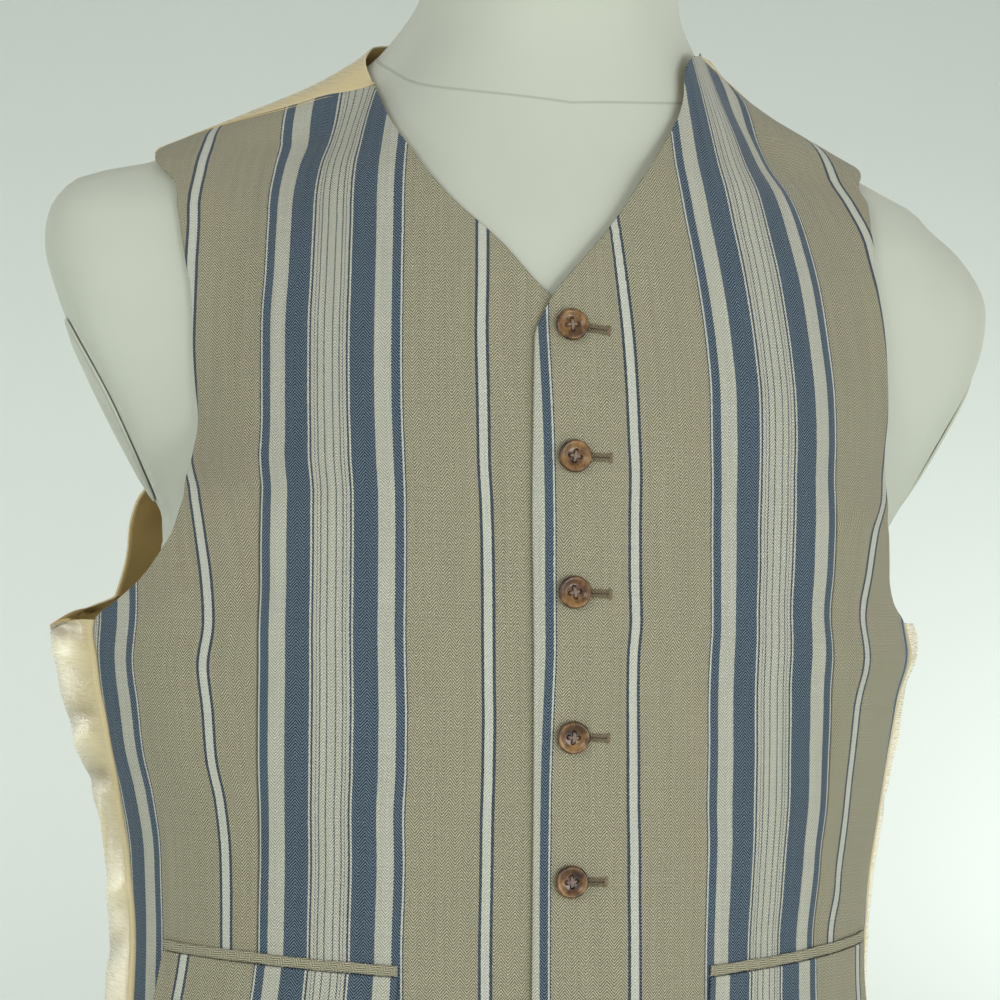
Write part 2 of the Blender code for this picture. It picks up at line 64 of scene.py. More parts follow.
FORM = table("height half_width front back side_line arm_reach arm_depth", [
    (0, 168, 112, 124, 8, 1, 1), (60, 176, 116, 131, 8, 1, 1), (120, 178, 117, 129, 7, 1, 1),
    (200, 169, 113, 114, 4, 1, 1), (300, 154, 105, 97, 0, 1, 1), (380, 160, 112, 106, 0, 1, 1),
    (440, 166, 120, 115, 2, 110, 16), (474, 163, 122, 118, 4, 160, 30), (490, 163, 122, 120, 5, 182, 37),
    (510, 164, 121, 121, 6, 195, 43), (540, 165, 118, 122, 8, 212, 49), (570, 163, 112, 121, 10, 226, 53),
    (600, 156, 104, 118, 12, 222, 55), (624, 142, 96, 114, 13, 208, 53), (642, 124, 89, 109, 13, 186, 44),
    (655, 107, 84, 105, 12, 159, 36), (670, 93, 79, 99, 10, 127, 32), (685, 80, 75, 92, 6, 95, 29),
    (700, 69, 72, 84, 2, 72, 27), (714, 61, 71, 75, -2, 60, 24), (732, 57, 73, 63, -8, 40, 20),
    (755, 56, 77, 50, -14, 1, 1), (790, 55, 82, 40, -20, 1, 1),
])
HANG = table("height right left front back side_line", [
    (120, 186, 185, 128, 143, 6), (190, 182, 180, 124, 131, 4), (250, 179, 171, 122, 121, 2),
    (300, 178, 167.5, 121, 116, 0), (340, 181.5, 168.5, 121.5, 117, 0), (370, 190, 172, 123, 120, 0),
    (400, 201, 176, 125, 124, 1), (420, 206.5, 179, 126.5, 127, 2), (440, 208, 180.5, 127.5, 129, 3),
    (460, 210, 182, 127.5, 130, 4), (480, 208, 184, 125.6, 127, 5), (500, 202, 185, 123.8, 126, 6),
    (520, 190, 182, 122.5, 125, 7), (545, 180, 178, 120, 125, 9),
])
ROLL = table("angle height", [
    (0, 1.0), (25, 1.6), (45, 3.2), (65, 4.4), (90, 3.4), (120, 2.5), (150, 1.5), (180, 1.0),
])
ROLL_AT, ROLL_SPREAD, DENT_AT, DENT_SHARE = 443.0, 13.0, 468.0, 0.3
CLOTH_WALL, FORM_GAP, SEAM_GAP, PIECE_GAP = 1.8, 1.7, 0.9, 0.4
SHOULDER_GAP, SHOULDER_FROM, SHOULDER_TO = 3.4, 625.0, 645.0
LAP_LIFT, LAP_FULL, LAP_END = 2.5, 14.0, 34.0
OVAL_POWER, ARM_POWER, JOIN_POWER = 2.1, 3, 8
WORN_FROM, WORN_TO = 495.0, 540.0
PLATE_GAP, PLATE_X, PLATE_Z, PLATE_SLOPE = 0.4, 224.5, 600.0, 0.57
STUB_FROM, STUB_FADE, STUB_JOIN, STUB_SOFT = 172.0, 22.0, 12.0, 18
STUB_GROWTH = {
    "right": table("height reach", [(560, 0), (590, 3), (610, 8), (624, 13), (642, 19), (655, 26)]),
    "left": table("height reach", [(560, 0), (600, -4), (624, -6), (642, -7), (655, -6)]),
}
print("sections:", len(FORM["height"]), "of the form,", len(HANG["height"]), "of the hanging cloth")


# %% Curves through a table
def curve(knots, values, at):
    """Monotone cubic curve through the knots, held level past its ends."""
    at = np.clip(np.asarray(at, float), knots[0], knots[-1])
    step = np.diff(knots)
    rise = np.diff(values) / step
    slope = np.zeros(len(knots))
    slope[0], slope[-1] = rise[0], rise[-1]
    both = rise[:-1] * rise[1:]
    slope[1:-1] = np.where(both > 0, 2 * both / np.where(both > 0, rise[:-1] + rise[1:], 1), 0)
    i = np.clip(np.searchsorted(knots, at, side="right") - 1, 0, len(knots) - 2)
    t = (at - knots[i]) / step[i]
    return (
        values[i] * (1 + 2 * t) * (1 - t) ** 2
        + slope[i] * step[i] * t * (1 - t) ** 2
        + values[i + 1] * t * t * (3 - 2 * t)
        + slope[i + 1] * step[i] * t * t * (t - 1)
    )


def read_row(rows, z):
    """Every column of a table, read at a height."""
    return {name: curve(rows["height"], values, z) for name, values in rows.items()}


def ease(x):
    """Smooth step from 0 to 1."""
    x = np.clip(x, 0, 1)
    return x * x * (3 - 2 * x)

# %% [markdown]
# ## The form and the cloth as two surfaces
#
# Both surfaces are functions of an angle and a height. The cloth stands off the form by its own thickness
# and a small gap where it is worn close, and follows its own table where it hangs, with a soft roll of
# spare cloth below the armholes. The outward direction comes from two short steps along the surface and
# their cross product, which needs no mesh at all.


# %% The two surfaces
def oval(angle, right, left, front, back, side_line):
    """Distance from the side line to a rounded oval, by angle."""
    s, c = np.sin(angle), np.cos(angle)
    wide = np.where(s < 0, right, left)
    deep = np.where(c > 0, front + side_line, back - side_line)
    return ((np.abs(s) / wide) ** OVAL_POWER + (np.abs(c) / deep) ** OVAL_POWER) ** (-1 / OVAL_POWER)


def ring(angle, z, reach, side_line):
    """Points at a distance from the side line."""
    x = reach * np.sin(angle)
    y = side_line - reach * np.cos(angle)
    return np.stack(np.broadcast_arrays(x, y, z), -1).astype(float)


def torso_oval(angle, z):
    """The form's table at a height, and how far its torso reaches from the side line."""
    g = read_row(FORM, z)
    return g, oval(angle, g["half_width"], g["half_width"], g["front"], g["back"], g["side_line"])


def form_point(angle, z):
    """Point on the dress form: the torso oval joined softly with the oval of the arm stubs."""
    g, torso = torso_oval(angle, z)
    s, c = np.abs(np.sin(angle)), np.abs(np.cos(angle))
    arm = ((s / g["arm_reach"]) ** ARM_POWER + (c / g["arm_depth"]) ** ARM_POWER) ** (-1 / ARM_POWER)
    return ring(angle, z, (torso ** JOIN_POWER + arm ** JOIN_POWER) ** (1 / JOIN_POWER), g["side_line"])


def form_skin(angle, z):
    """The form with its stubs cut along a slanting flat that is rounded over and spares the torso."""
    p = form_point(angle, z)
    growth = {side: curve(rows["height"], rows["reach"], z) for side, rows in STUB_GROWTH.items()}
    reach = np.maximum(np.abs(p[..., 0]), 1)
    grown = np.where(p[..., 0] < 0, growth["right"], growth["left"])
    reach = reach + grown * ease((reach - STUB_FROM) / STUB_FADE)
    torso = np.maximum(torso_oval(angle, z)[1] * np.abs(np.sin(angle)), 1)
    limit = np.maximum(PLATE_X - PLATE_SLOPE * (PLATE_Z - z), torso)
    soft = (reach ** -STUB_SOFT + limit ** -STUB_SOFT) ** (-1 / STUB_SOFT)
    cut = reach + (soft - reach) * ease((reach - torso) / STUB_JOIN)
    p[..., 0] = np.where(np.abs(p[..., 0]) < 1, p[..., 0], np.sign(p[..., 0]) * cut)
    return p


def hang_point(angle, z):
    """Point on the cloth where it hangs free."""
    g = read_row(HANG, z)
    free = oval(angle, g["right"], g["left"], g["front"], g["back"], g["side_line"])
    roll = curve(ROLL["angle"], ROLL["height"], np.abs(np.degrees(angle)))
    rise = np.exp(-(((z - ROLL_AT) / ROLL_SPREAD) ** 2))
    rise = rise - DENT_SHARE * np.exp(-(((z - DENT_AT) / ROLL_SPREAD) ** 2))
    return ring(angle, z, free + roll * rise, g["side_line"])


def outward(point, angle, z):
    """Unit normal of a surface given by angle and height."""
    turn, lift = 1e-3, 0.2
    across = point(angle + turn, z) - point(angle - turn, z)
    up = point(angle, z + lift) - point(angle, z - lift)
    n = np.cross(across, up)
    return n / np.linalg.norm(n, axis=-1, keepdims=True)


def cloth_point(angle, z):
    """Outer face of the cloth: seated on the shoulders and chest, hanging free below."""
    z = np.asarray(z, float)
    gap = FORM_GAP + (SHOULDER_GAP - FORM_GAP) * ease((z - SHOULDER_FROM) / (SHOULDER_TO - SHOULDER_FROM))
    worn = form_point(angle, z) + outward(form_point, angle, z) * (CLOTH_WALL + gap)[..., None]
    share = ease((z - WORN_FROM) / (WORN_TO - WORN_FROM))[..., None]
    return hang_point(angle, z) * (1 - share) + worn * share


def lap_lift(angle):
    """How far the left front stands out over the right one, fading away from the closure."""
    return LAP_LIFT * (1 - ease((np.degrees(angle) - LAP_FULL) / (LAP_END - LAP_FULL)))


def front_point(side, angle, z, out=0.0):
    """Point on the outer face of one front, moved out by a distance."""
    lift = lap_lift(angle) if side == "left" else 0.0
    return cloth_point(angle, z) + outward(cloth_point, angle, z) * np.asarray(lift + out)[..., None]

# %% [markdown]
# ## Cutting the panels
#
# A real gilet is cut flat and sewn. Here each panel is a patch between four edge curves: closure and
# neckline, side seam and armhole, hem, and shoulder seam. A Coons patch fills the inside: it adds the two
# ruled patches and takes away the one through the corners, so the grid follows all four edges exactly.


# %% Edge tables and pattern pieces
# Front edge and neckline of each front, from the hem point to the neck end of the shoulder
FRONT_EDGE = {
    "left": table("angle height", [
        (25, 140), (9.5, 205), (-2.6, 262), (-3.3, 300), (-4.2, 346), (-5.3, 401), (-6.6, 463), (-7.8, 526),
        (-8.2, 573), (-6.8, 582), (-4.8, 591), (1, 606), (7.8, 622), (16.2, 643), (25.2, 662), (36.2, 682),
        (43, 696), (54, 704), (66, 706),
    ]),
    "right": table("angle height", [
        (15, 140), (0, 205), (-12.5, 262), (-12, 300), (-11, 346), (-9.6, 401), (-8.4, 463), (-7.7, 526),
        (-7, 569), (-3, 580), (4.8, 591), (16, 614), (27.5, 632), (42.2, 656), (58.2, 676), (66.5, 683),
    ]),
}

# Side seam and front armhole of each front, from the hem to the shoulder tip
FRONT_SIDE = {
    "left": table("angle height", [
        (75, 185), (75, 250), (74, 310), (73, 380), (72, 430), (71.5, 458), (67.8, 466), (64.8, 480),
        (63.7, 501), (66, 512), (68.6, 528), (69.3, 550), (69, 574), (69, 600), (70.2, 616), (72.3, 629.5),
        (74.2, 636), (76.4, 643), (78.6, 650), (84, 659), (91, 664),
    ]),
    "right": table("angle height", [
        (74, 185), (75.5, 250), (76.2, 310), (77, 345), (75.2, 385), (74.4, 405), (74.3, 422), (73.9, 435),
        (73, 446), (70.5, 453), (67.5, 463), (65, 475), (63.2, 486), (62.8, 498), (65, 510), (67.6, 524),
        (69, 542), (69.8, 560), (70.3, 576), (71.2, 592), (73.5, 614), (76.5, 632), (86.2, 651),
    ]),
}

# Shoulder seam, from the neck end to the tip
SHOULDER = {
    "left": table("angle height", [(66, 706), (81, 696), (88, 686), (91, 677), (92, 670), (91, 664)]),
    "right": table("angle height", [
        (66.5, 683), (76.8, 678), (79.8, 672), (82.8, 666), (85, 661), (86.3, 656), (86.2, 651),
    ]),
}

# Back armhole from the side seam to the shoulder tip
BACK_ARMHOLE = {
    "left": table("angle height", [
        (71.5, 458), (98, 460), (107, 467), (112, 488), (115, 515), (120, 545), (121, 572), (118, 605),
        (112, 635), (104, 652), (91, 664),
    ]),
    "right": table("angle height", [
        (73, 446), (107, 449.5), (111.5, 453), (112, 468), (111.5, 487), (112, 510), (116, 538),
        (122.5, 566), (118, 603), (112, 628), (103, 643), (95, 649), (86.2, 651),
    ]),
}

# How the cloth hangs down under each back armhole: middle angle, width, depth, heights of rise and end
SAG = {"left": (93, 13, 3, 380, 440, 520), "right": (93, 13, 10, 380, 440, 520)}

# Back neckline from the neck end of the shoulder to the centre back
BACK_NECK = {
    "left": table("angle height", [(66, 706), (86, 705), (110, 706), (145, 711), (180, 713)]),
    "right": table("angle height", [(66.5, 683), (88, 701), (115, 708), (150, 712), (180, 713)]),
}
SEAM_FROM = 0.78
BACK_REACH, LEVEL_POWER, EDGE_POWER = 75, 2.2, 6
CENTRE_BACK = table("share height", [(0, 196), (0.4, 428), (0.45, 448), (0.6, 548), (0.78, 668), (1, 713)])
BACK_HEM = table("angle height", [(76, 185), (120, 188), (180, 196)])

# Pocket mouths: inner and outer end as angle and height
POCKETS = {
    "left": (32.8, 308.0, 71.2, 318.0),
    "right": (28.8, 305.0, 68.8, 307.0),
}

# Buttons down the lap: angle and height
BUTTONS = table("angle height", [(-1, 578), (0, 524), (0.8, 467), (2, 407), (3.4, 346), (4.8, 285)])

# %% Patches between the edges
SLOW_FROM, SLOW_POWER, SAG_HOLD = 0.8, 1.8, 20


def slowed(share):
    """Share of a rise, slowing towards 1 so that rows close up where an edge turns over the shoulder."""
    late = np.clip((share - SLOW_FROM) / (1 - SLOW_FROM), 0, 1)
    return np.where(share > SLOW_FROM, SLOW_FROM + (1 - SLOW_FROM) * (1 - (1 - late) ** SLOW_POWER), share)


def along(edge, share):
    """Angle and height at a share of the edge's rise."""
    z = edge["height"][0] + (edge["height"][-1] - edge["height"][0]) * slowed(share)
    return curve(edge["height"], edge["angle"], z), z


def across(edge, share):
    """Angle and height at a share of the way along a level-running edge."""
    steps = np.linspace(0, 1, len(edge["angle"]))
    return curve(steps, edge["angle"], share), curve(steps, edge["height"], share)


def blend_patch(first, last, bottom, top, s, t):
    """Grid of angle and height filled in from its four edges."""
    out = []
    for k in (0, 1):
        a, b, c, d = first[k][:, None], last[k][:, None], bottom[k][None, :], top[k][None, :]
        ruled = a * (1 - s) + b * s + c * (1 - t) + d * t
        corners = a[0] * (1 - s) * (1 - t) + b[0] * s * (1 - t) + a[-1] * (1 - s) * t + b[-1] * s * t
        out.append(ruled - corners)
    return out


def seam_degrees(angle, z):
    """Half the seam gap as an angle at a point."""
    p = cloth_point(np.radians(angle), z)
    return np.degrees(SEAM_GAP / 2 / np.hypot(p[..., 0], p[..., 1]))


def front_cut(side, rows, s):
    """Angle and height on one front for shares of its height and width; the wearer's right is negative."""
    s = s[None, :]
    first = along(FRONT_EDGE[side], rows)
    last = along(FRONT_SIDE[side], rows)
    seam = across(SHOULDER[side], s[0])
    hem = [first[k][0] + (last[k][0] - first[k][0]) * s[0] for k in (0, 1)]
    seam = (seam[0] - seam_degrees(*seam), seam[1])
    last = (last[0] - seam_degrees(*last), last[1])
    for k in (0, 1):
        first[k][-1], last[k][-1], hem[k][-1] = seam[k][0], seam[k][-1], last[k][0]
    return blend_patch(first, last, hem, seam, s, rows[:, None])


def back_edge(side, rows):
    """Side seam, back armhole and shoulder seam of one back half: angle and height of each row."""
    front, armhole, seam = FRONT_SIDE[side], BACK_ARMHOLE[side], SHOULDER[side]
    rise = rows / SEAM_FROM
    z = front["height"][0] + (seam["height"][-1] - front["height"][0]) * slowed(np.minimum(rise, 1))
    corner = armhole["height"][0]
    angle = np.where(
        z < corner,
        curve(front["height"], front["angle"], z),
        curve(armhole["height"], armhole["angle"], z),
    )
    on_seam = rows >= SEAM_FROM
    seam_angle, seam_z = across(seam, 1 - (rows - SEAM_FROM) / (1 - SEAM_FROM))
    return np.where(on_seam, seam_angle, angle), np.where(on_seam, seam_z, z)


def sag(side, angle, z):
    """How far the cloth under an armhole hangs down: a bell round the side, faded below and above."""
    middle, width, depth, low, high, end = SAG[side]
    bell = np.exp(-((angle - middle) / width) ** 2)
    fade = 1 - ease((z - high - SAG_HOLD) / (end - high - SAG_HOLD))
    return depth * bell * ease((z - low) / (high - low)) * fade


def back_cut(side, rows, s):
    """Angle and height on one half of the back, from the side seam to the centre back."""
    s = s[None, :]
    angle, z = back_edge(side, rows)
    first = (angle + seam_degrees(angle, z), z)
    middle = 180 - np.degrees(SEAM_GAP / 2 / BACK_REACH)
    last = (np.full(len(rows), middle), curve(CENTRE_BACK["share"], CENTRE_BACK["height"], rows))
    hem = across(BACK_HEM, s[0])
    neck = across(BACK_NECK[side], s[0])
    for edge_row, end in ((hem, 0), (neck, -1)):
        edge_row[0][0], edge_row[0][-1] = first[0][end], middle
        edge_row[1][0], edge_row[1][-1] = first[1][end], last[1][end]
    angle = blend_patch(first, last, hem, neck, s, rows[:, None])[0]
    late, t = s ** LEVEL_POWER, rows[:, None]
    z = first[1][:, None] * (1 - late) + last[1][:, None] * late
    low, high = hem[1] - z[0], neck[1] - z[-1]
    z = z + low * (1 - t) ** EDGE_POWER + high * t ** EDGE_POWER
    return angle, z - sag(side, angle, z)

# %% [markdown]
# ## From arrays to meshes
#
# Every piece is a grid of points, so one helper turns a grid into a mesh: it numbers the four corners of
# each cell with whole-array sums. A wall comes from a Solidify modifier, which moves the inner face in from
# the true outer one. Values that a pattern needs, such as the distance across the cloth, ride on the
# points.


# %% Grid helpers
def grid_quads(rows, columns, around=False, turned=False):
    """Corner numbers of each cell; around joins the last column to the first."""
    r = np.arange(rows - 1)[:, None] * columns
    c = np.arange(columns if around else columns - 1)[None, :]
    a, b = r + c, r + (c + 1) % columns
    quads = np.stack([a, b, b + columns, a + columns], -1).reshape(-1, 4)
    return quads[:, ::-1] if turned else quads


def put_mesh(name, points, faces, finishes, notes=None):
    """Mesh object at the origin from points in millimetres; notes are three numbers a point."""
    mesh = bpy.data.meshes.new(name)
    mesh.from_pydata((np.asarray(points).reshape(-1, 3) * MM).tolist(), [], [list(f) for f in faces])
    for key, values in (notes or {}).items():
        made = mesh.attributes.new(key, "FLOAT_VECTOR", "POINT")
        made.data.foreach_set("vector", np.asarray(values, float).reshape(-1))
    for finish in finishes:
        mesh.materials.append(finish)
    mesh.shade_smooth()
    mesh.validate()
    thing = bpy.data.objects.new(name, mesh)
    bpy.context.scene.collection.objects.link(thing)
    return thing


def closed_faces(rows, columns, start=0, turned=False):
    """Faces of a stack of rings, with a fan to the single point that each end has shrunk to."""
    c = np.arange(columns)
    n = (c + 1) % columns
    top = (rows - 3) * columns + 1
    low = np.stack([0 * c, n + 1, c + 1], -1)
    high = np.stack([0 * c + top + columns, top + c, top + n], -1)
    parts = [grid_quads(rows - 2, columns, True) + 1, low, high]
    return [face for part in parts for face in ((part[:, ::-1] if turned else part) + start).tolist()]


def ring_points(rings):
    """One point for each end ring, and all the points of the rings between."""
    return np.concatenate([rings[0, :1], rings[1:-1].reshape(-1, 3), rings[-1, :1]])


def capped_mesh(name, grid, finishes, notes, turned=False):
    """Closed mesh from rings of points whose first and last rings have shrunk to a point each."""
    notes = {key: ring_points(values) for key, values in notes.items()}
    return put_mesh(name, ring_points(grid), closed_faces(*grid.shape[:2], turned=turned), finishes, notes)


def shell(name, grid, wall, finishes, notes, turned):
    """Thin cloth from a grid of outer points; its inner side takes the second finish."""
    rows, columns = grid.shape[:2]
    thing = put_mesh(name, grid, grid_quads(rows, columns, turned=turned), finishes, notes)
    solid = thing.modifiers.new("cloth thickness", "SOLIDIFY")
    solid.thickness = wall * MM
    solid.offset = -1
    solid.use_quality_normals = True
    solid.material_offset = 1
    return thing


def tube(path, radius, sides=8):
    """Rings of points round a path, shrunk to a point at both ends; the radius may change along it."""
    run = np.gradient(path, axis=0)
    run /= np.linalg.norm(run, axis=1, keepdims=True)
    first = np.cross(run, np.where(np.abs(run[:, 2:]) > 0.8, [1.0, 0, 0], [0, 0, 1.0]))
    first /= np.linalg.norm(first, axis=1, keepdims=True)
    second = np.cross(run, first)
    turn = np.linspace(0, 2 * np.pi, sides, endpoint=False)[None, :, None]
    size = (radius * np.ones(len(path)))[:, None, None]
    rings = path[:, None] + size * (np.cos(turn) * first[:, None] + np.sin(turn) * second[:, None])
    ends = [np.repeat(path[k][None, None], sides, 1) for k in (0, -1)]
    return np.concatenate([ends[0], rings, ends[1]])


def join_tubes(name, tubes, finishes):
    """One mesh of several tubes, with their faces numbered on from each other."""
    points, faces, start = [], [], 0
    for rings in tubes:
        faces += closed_faces(*rings.shape[:2], start)
        points.append(ring_points(rings))
        start += len(points[-1])
    return put_mesh(name, np.concatenate(points), faces, finishes)


def dress(thing, material_slot, *nodes):
    """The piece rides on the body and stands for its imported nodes."""
    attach(thing, "root")
    if nodes:
        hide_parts(*nodes)
    return thing


# %% [markdown]
# ## Shader sums as Python
#
# A pattern such as a woven stripe is arithmetic on a position. Wiring that by hand takes dozens of nodes,
# so a small class wraps a socket and lets plain Python sums add the Math nodes. Colours never go through a
# Math node, which would turn them grey: they are mixed.


# %% The wire and the finish
class Wire:
    """One output socket, with Python's own sums."""

    def __init__(self, finish, socket):
        self.finish, self.socket = finish, socket

    def __add__(self, other):
        return self.finish.math("ADD", self, other)

    def __sub__(self, other):
        return self.finish.math("SUBTRACT", self, other)

    def __rsub__(self, other):
        return self.finish.math("SUBTRACT", other, self)

    def __mul__(self, other):
        return self.finish.math("MULTIPLY", self, other)

    def __truediv__(self, other):
        return self.finish.math("DIVIDE", self, other)

    __radd__, __rmul__ = __add__, __mul__


def tone(red, green, blue):
    """Linear colour from the 0 to 255 values of a swatch."""
    share = np.array([red, green, blue]) / 255
    linear = np.where(share > 0.04045, ((share + 0.055) / 1.055) ** 2.4, share / 12.92)
    return (*linear.tolist(), 1.0)


class Finish:
    """A material whose pattern is written as sums on wires."""

    def __init__(self, name, roughness, **fixed):
        self.material = bpy.data.materials.new(name)
        self.material.use_nodes = True
        self.tree = self.material.node_tree
        self.shader = self.tree.nodes["Principled BSDF"]
        self.feed("Roughness", roughness)
        for key, value in fixed.items():
            self.feed(key.replace("_", " "), value)

    def join(self, socket, value):
        if isinstance(value, Wire):
            self.tree.links.new(value.socket, socket)
        else:
            socket.default_value = value

    def feed(self, name, value):
        self.join(self.shader.inputs[name], value)

    def node(self, kind, settings=None, inputs=None, output=0):
        """Any node: its settings first, then the values or wires of its sockets."""
        made = self.tree.nodes.new(kind)
        for key, value in (settings or {}).items():
            if key == "stops":
                while len(made.color_ramp.elements) < len(value):
                    made.color_ramp.elements.new(1)
                for element, (place, colour) in zip(made.color_ramp.elements, value):
                    element.position = place
                    element.color = colour
            elif key == "steps":
                made.color_ramp.interpolation = value
            else:
                setattr(made, key, value)
        for key, value in (inputs or {}).items():
            self.join(made.inputs[key], value)
        return Wire(self, made.outputs[output])

    def math(self, operation, *values):
        return self.node("ShaderNodeMath", {"operation": operation}, dict(enumerate(values)))

    def mix(self, share, first, second):
        """Colour between two colours."""
        settings = {"data_type": "RGBA", "clamp_factor": True}
        return self.node("ShaderNodeMix", settings, {0: share, 6: first, 7: second}, 2)

    def shade(self, colour, amount):
        """Colour made darker or lighter by a wired amount."""
        grey = self.node("ShaderNodeCombineXYZ", None, {0: amount, 1: amount, 2: amount})
        return self.node("ShaderNodeVectorMath", {"operation": "MULTIPLY"}, {0: colour, 1: grey})

    def place(self, x, y, z=0.0):
        return self.node("ShaderNodeCombineXYZ", None, {0: x, 1: y, 2: z})

    def note(self, name):
        """The three numbers that ride on the points under a name."""
        found = self.node("ShaderNodeAttribute", {"attribute_name": name}, None, "Vector")
        split = self.node("ShaderNodeSeparateXYZ", None, {0: found})
        return [Wire(self, split.socket.node.outputs[k]) for k in range(3)]

    def object_place(self):
        found = self.node("ShaderNodeTexCoord", None, None, "Object")
        split = self.node("ShaderNodeSeparateXYZ", None, {0: found})
        return [Wire(self, split.socket.node.outputs[k]) for k in range(3)]

    def noise(self, where, scale, detail=2.0, roughness=0.5):
        inputs = {"Vector": where, "Scale": scale, "Detail": detail, "Roughness": roughness}
        return self.node("ShaderNodeTexNoise", None, inputs)

    def ramp(self, value, stops, steps="LINEAR"):
        return self.node("ShaderNodeValToRGB", {"stops": stops, "steps": steps}, {"Fac": value})

    def between(self, value, low, high):
        """0 below low, 1 above high and a soft step between."""
        inputs = {"Value": value, "From Min": low, "From Max": high}
        return self.node("ShaderNodeMapRange", {"interpolation_type": "SMOOTHSTEP"}, inputs)

    def near(self, value, spot, reach):
        """1 at a spot, fading to 0 at a reach on each side."""
        return 1 - self.between(self.math("ABSOLUTE", value - spot), reach * 0.4, reach)

    def bump(self, height, strength, depth_mm):
        inputs = {"Strength": strength, "Distance": depth_mm * MM, "Height": height}
        self.feed("Normal", self.node("ShaderNodeBump", None, inputs))


# %% [markdown]
# ## The striped herringbone
#
# Herringbone is a twill whose diagonal turns back every few threads. In the shader a triangle wave across
# the cloth bends the diagonal, and a sine along it gives the threads. The stripes are lengthwise threads of
# other colours, so they are one ramp across the repeat, mirrored about the wide stripe: a fine-lined
# middle, dark blue, cream, a narrow blue edge, then plain ground up to the narrow white stripe. The
# crosswise threads are undyed and show through everywhere. An image of the cloth would be quicker, but it
# would not be built.

# %% Colours and sizes of the stripe
KHAKI, CREAM, WHITE = tone(114, 107, 78), tone(158, 158, 142), tone(176, 178, 166)
BLUE, NAVY, LINE = tone(20, 36, 54), tone(12, 20, 36), tone(40, 50, 62)
KHAKI_LIT, CREAM_LIT, WHITE_LIT = tone(194, 191, 168), tone(212, 213, 198), tone(220, 221, 208)
BLUE_LIT, NAVY_LIT, LINE_LIT = tone(114, 133, 146), tone(100, 112, 122), tone(142, 148, 146)
REPEAT = 131.6
DART_TOP = 515.0
RIB, TWILL, TWILL_SLOPE = 2.9, 1.4, 1.25
STRIPE = [
    (0.0, CREAM, CREAM_LIT), (1.4, LINE, LINE_LIT), (1.8, CREAM, CREAM_LIT), (4.3, LINE, LINE_LIT),
    (4.7, CREAM, CREAM_LIT), (5.7, LINE, LINE_LIT), (6.1, CREAM, CREAM_LIT), (7.35, NAVY, NAVY_LIT),
    (8.1, CREAM, CREAM_LIT), (8.35, WHITE, WHITE_LIT), (8.95, BLUE, BLUE_LIT), (18.9, CREAM, CREAM_LIT),
    (25.9, BLUE, BLUE_LIT), (29.4, WHITE, WHITE_LIT), (30.2, NAVY, NAVY_LIT), (30.8, KHAKI, KHAKI_LIT),
    (62.5, NAVY, NAVY_LIT), (63.9, WHITE, WHITE_LIT),
]


def twill(finish, u, v):
    """Wave of the diagonal threads: a sine along v, shifted by a triangle wave of u."""
    rib = finish.math("PINGPONG", u, RIB)
    wobble = finish.noise(finish.place(u * 0.35, v * 0.35), 1.0, 1.0) * 0.5
    return finish.math("SINE", (v + rib * TWILL_SLOPE + wobble) * (2 * np.pi / TWILL))


def make_cloth(name, middle=None, dart=None):
    """Woven cloth; middle is where a wide stripe's centre lies, and dart where the dart's seam does."""
    finish = Finish(name, 0.82, Sheen_Weight=0.12, Sheen_Roughness=0.5, Specular_IOR_Level=0.3)
    across_cloth, v, taken = finish.note("weave")
    u = across_cloth
    if dart is not None:
        _, height, _ = finish.note("spot")
        beyond = finish.math("GREATER_THAN", across_cloth, dart)
        u = across_cloth + taken * beyond
        # The mask of the dart's seam line below its top, used for painted shade in the seam groove and for
        # the bump.
        seam = finish.near(across_cloth, dart, 0.75) * (1 - finish.between(height, DART_TOP - 12, DART_TOP))
    wave = twill(finish, u, v)
    ragged = finish.noise(finish.place(u * 0.9, v * 1.3), 1.0, 1.0)
    u = u + (ragged - 0.5) * 0.6 + wave * 0.08
    flecks = finish.noise(finish.place(u * 2.6, v * 1.3), 1.0, 2.0, 0.7)
    slubs = finish.noise(finish.place(u * 0.75, v * 0.012), 1.0, 3.0, 0.65)
    weft = finish.noise(finish.place(u * 0.02, v * 0.9), 1.0, 2.0, 0.6)
    if middle is None:
        warp, lit = KHAKI, KHAKI_LIT
    else:
        half = REPEAT / 2
        wrapped = finish.node("ShaderNodeMath", {"operation": "WRAP"}, {0: u - middle, 1: half, 2: -half})
        offset = finish.math("ABSOLUTE", wrapped) / half
        stops = [[(row[0] / half, row[k]) for row in STRIPE] for k in (1, 2)]
        warp, lit = (finish.ramp(offset, column, "CONSTANT") for column in stops)
    shown = 0.38 + 0.75 * wave + (flecks - 0.5) * 2.2
    colour = finish.mix(shown, warp, lit)
    light = 0.88 + (slubs - 0.5) * 0.34 + (weft - 0.5) * 0.2 + (flecks - 0.5) * 0.5
    # Painted shade: the colour is darkened along the dart's seam groove.
    if dart is not None:
        light = light * (1 - seam * 0.45)
    finish.feed("Base Color", finish.shade(colour, light))
    raised = wave * 0.8 + flecks * 0.7
    if dart is not None:
        raised = raised - seam * 5
    finish.bump(raised, 0.55, 0.12)
    finish.feed("Roughness", 0.78 + flecks * 0.12)
    return finish.material


# %% [markdown]
# ## The satin and the lining
#
# Satin shines because its threads float over many others. The gloss comes from a low roughness that changes
# a little in streaks, and from the creases in the mesh. The colour is also painted darker in the crease
# troughs as painted shade. The lining inside is the same yarn in a duller weave, with the same painted shade.

# %% Satin, lining and thread
# The second colour of each pair is the darker tone of the clouding and also the painted shade in the crease
# troughs.
GOLD, GOLD_CLOUDS_AND_FOLD_SHADE = tone(236, 221, 176), tone(164, 142, 92)
LINING, LINING_CLOUDS_AND_FOLD_SHADE = tone(226, 196, 136), tone(194, 162, 104)


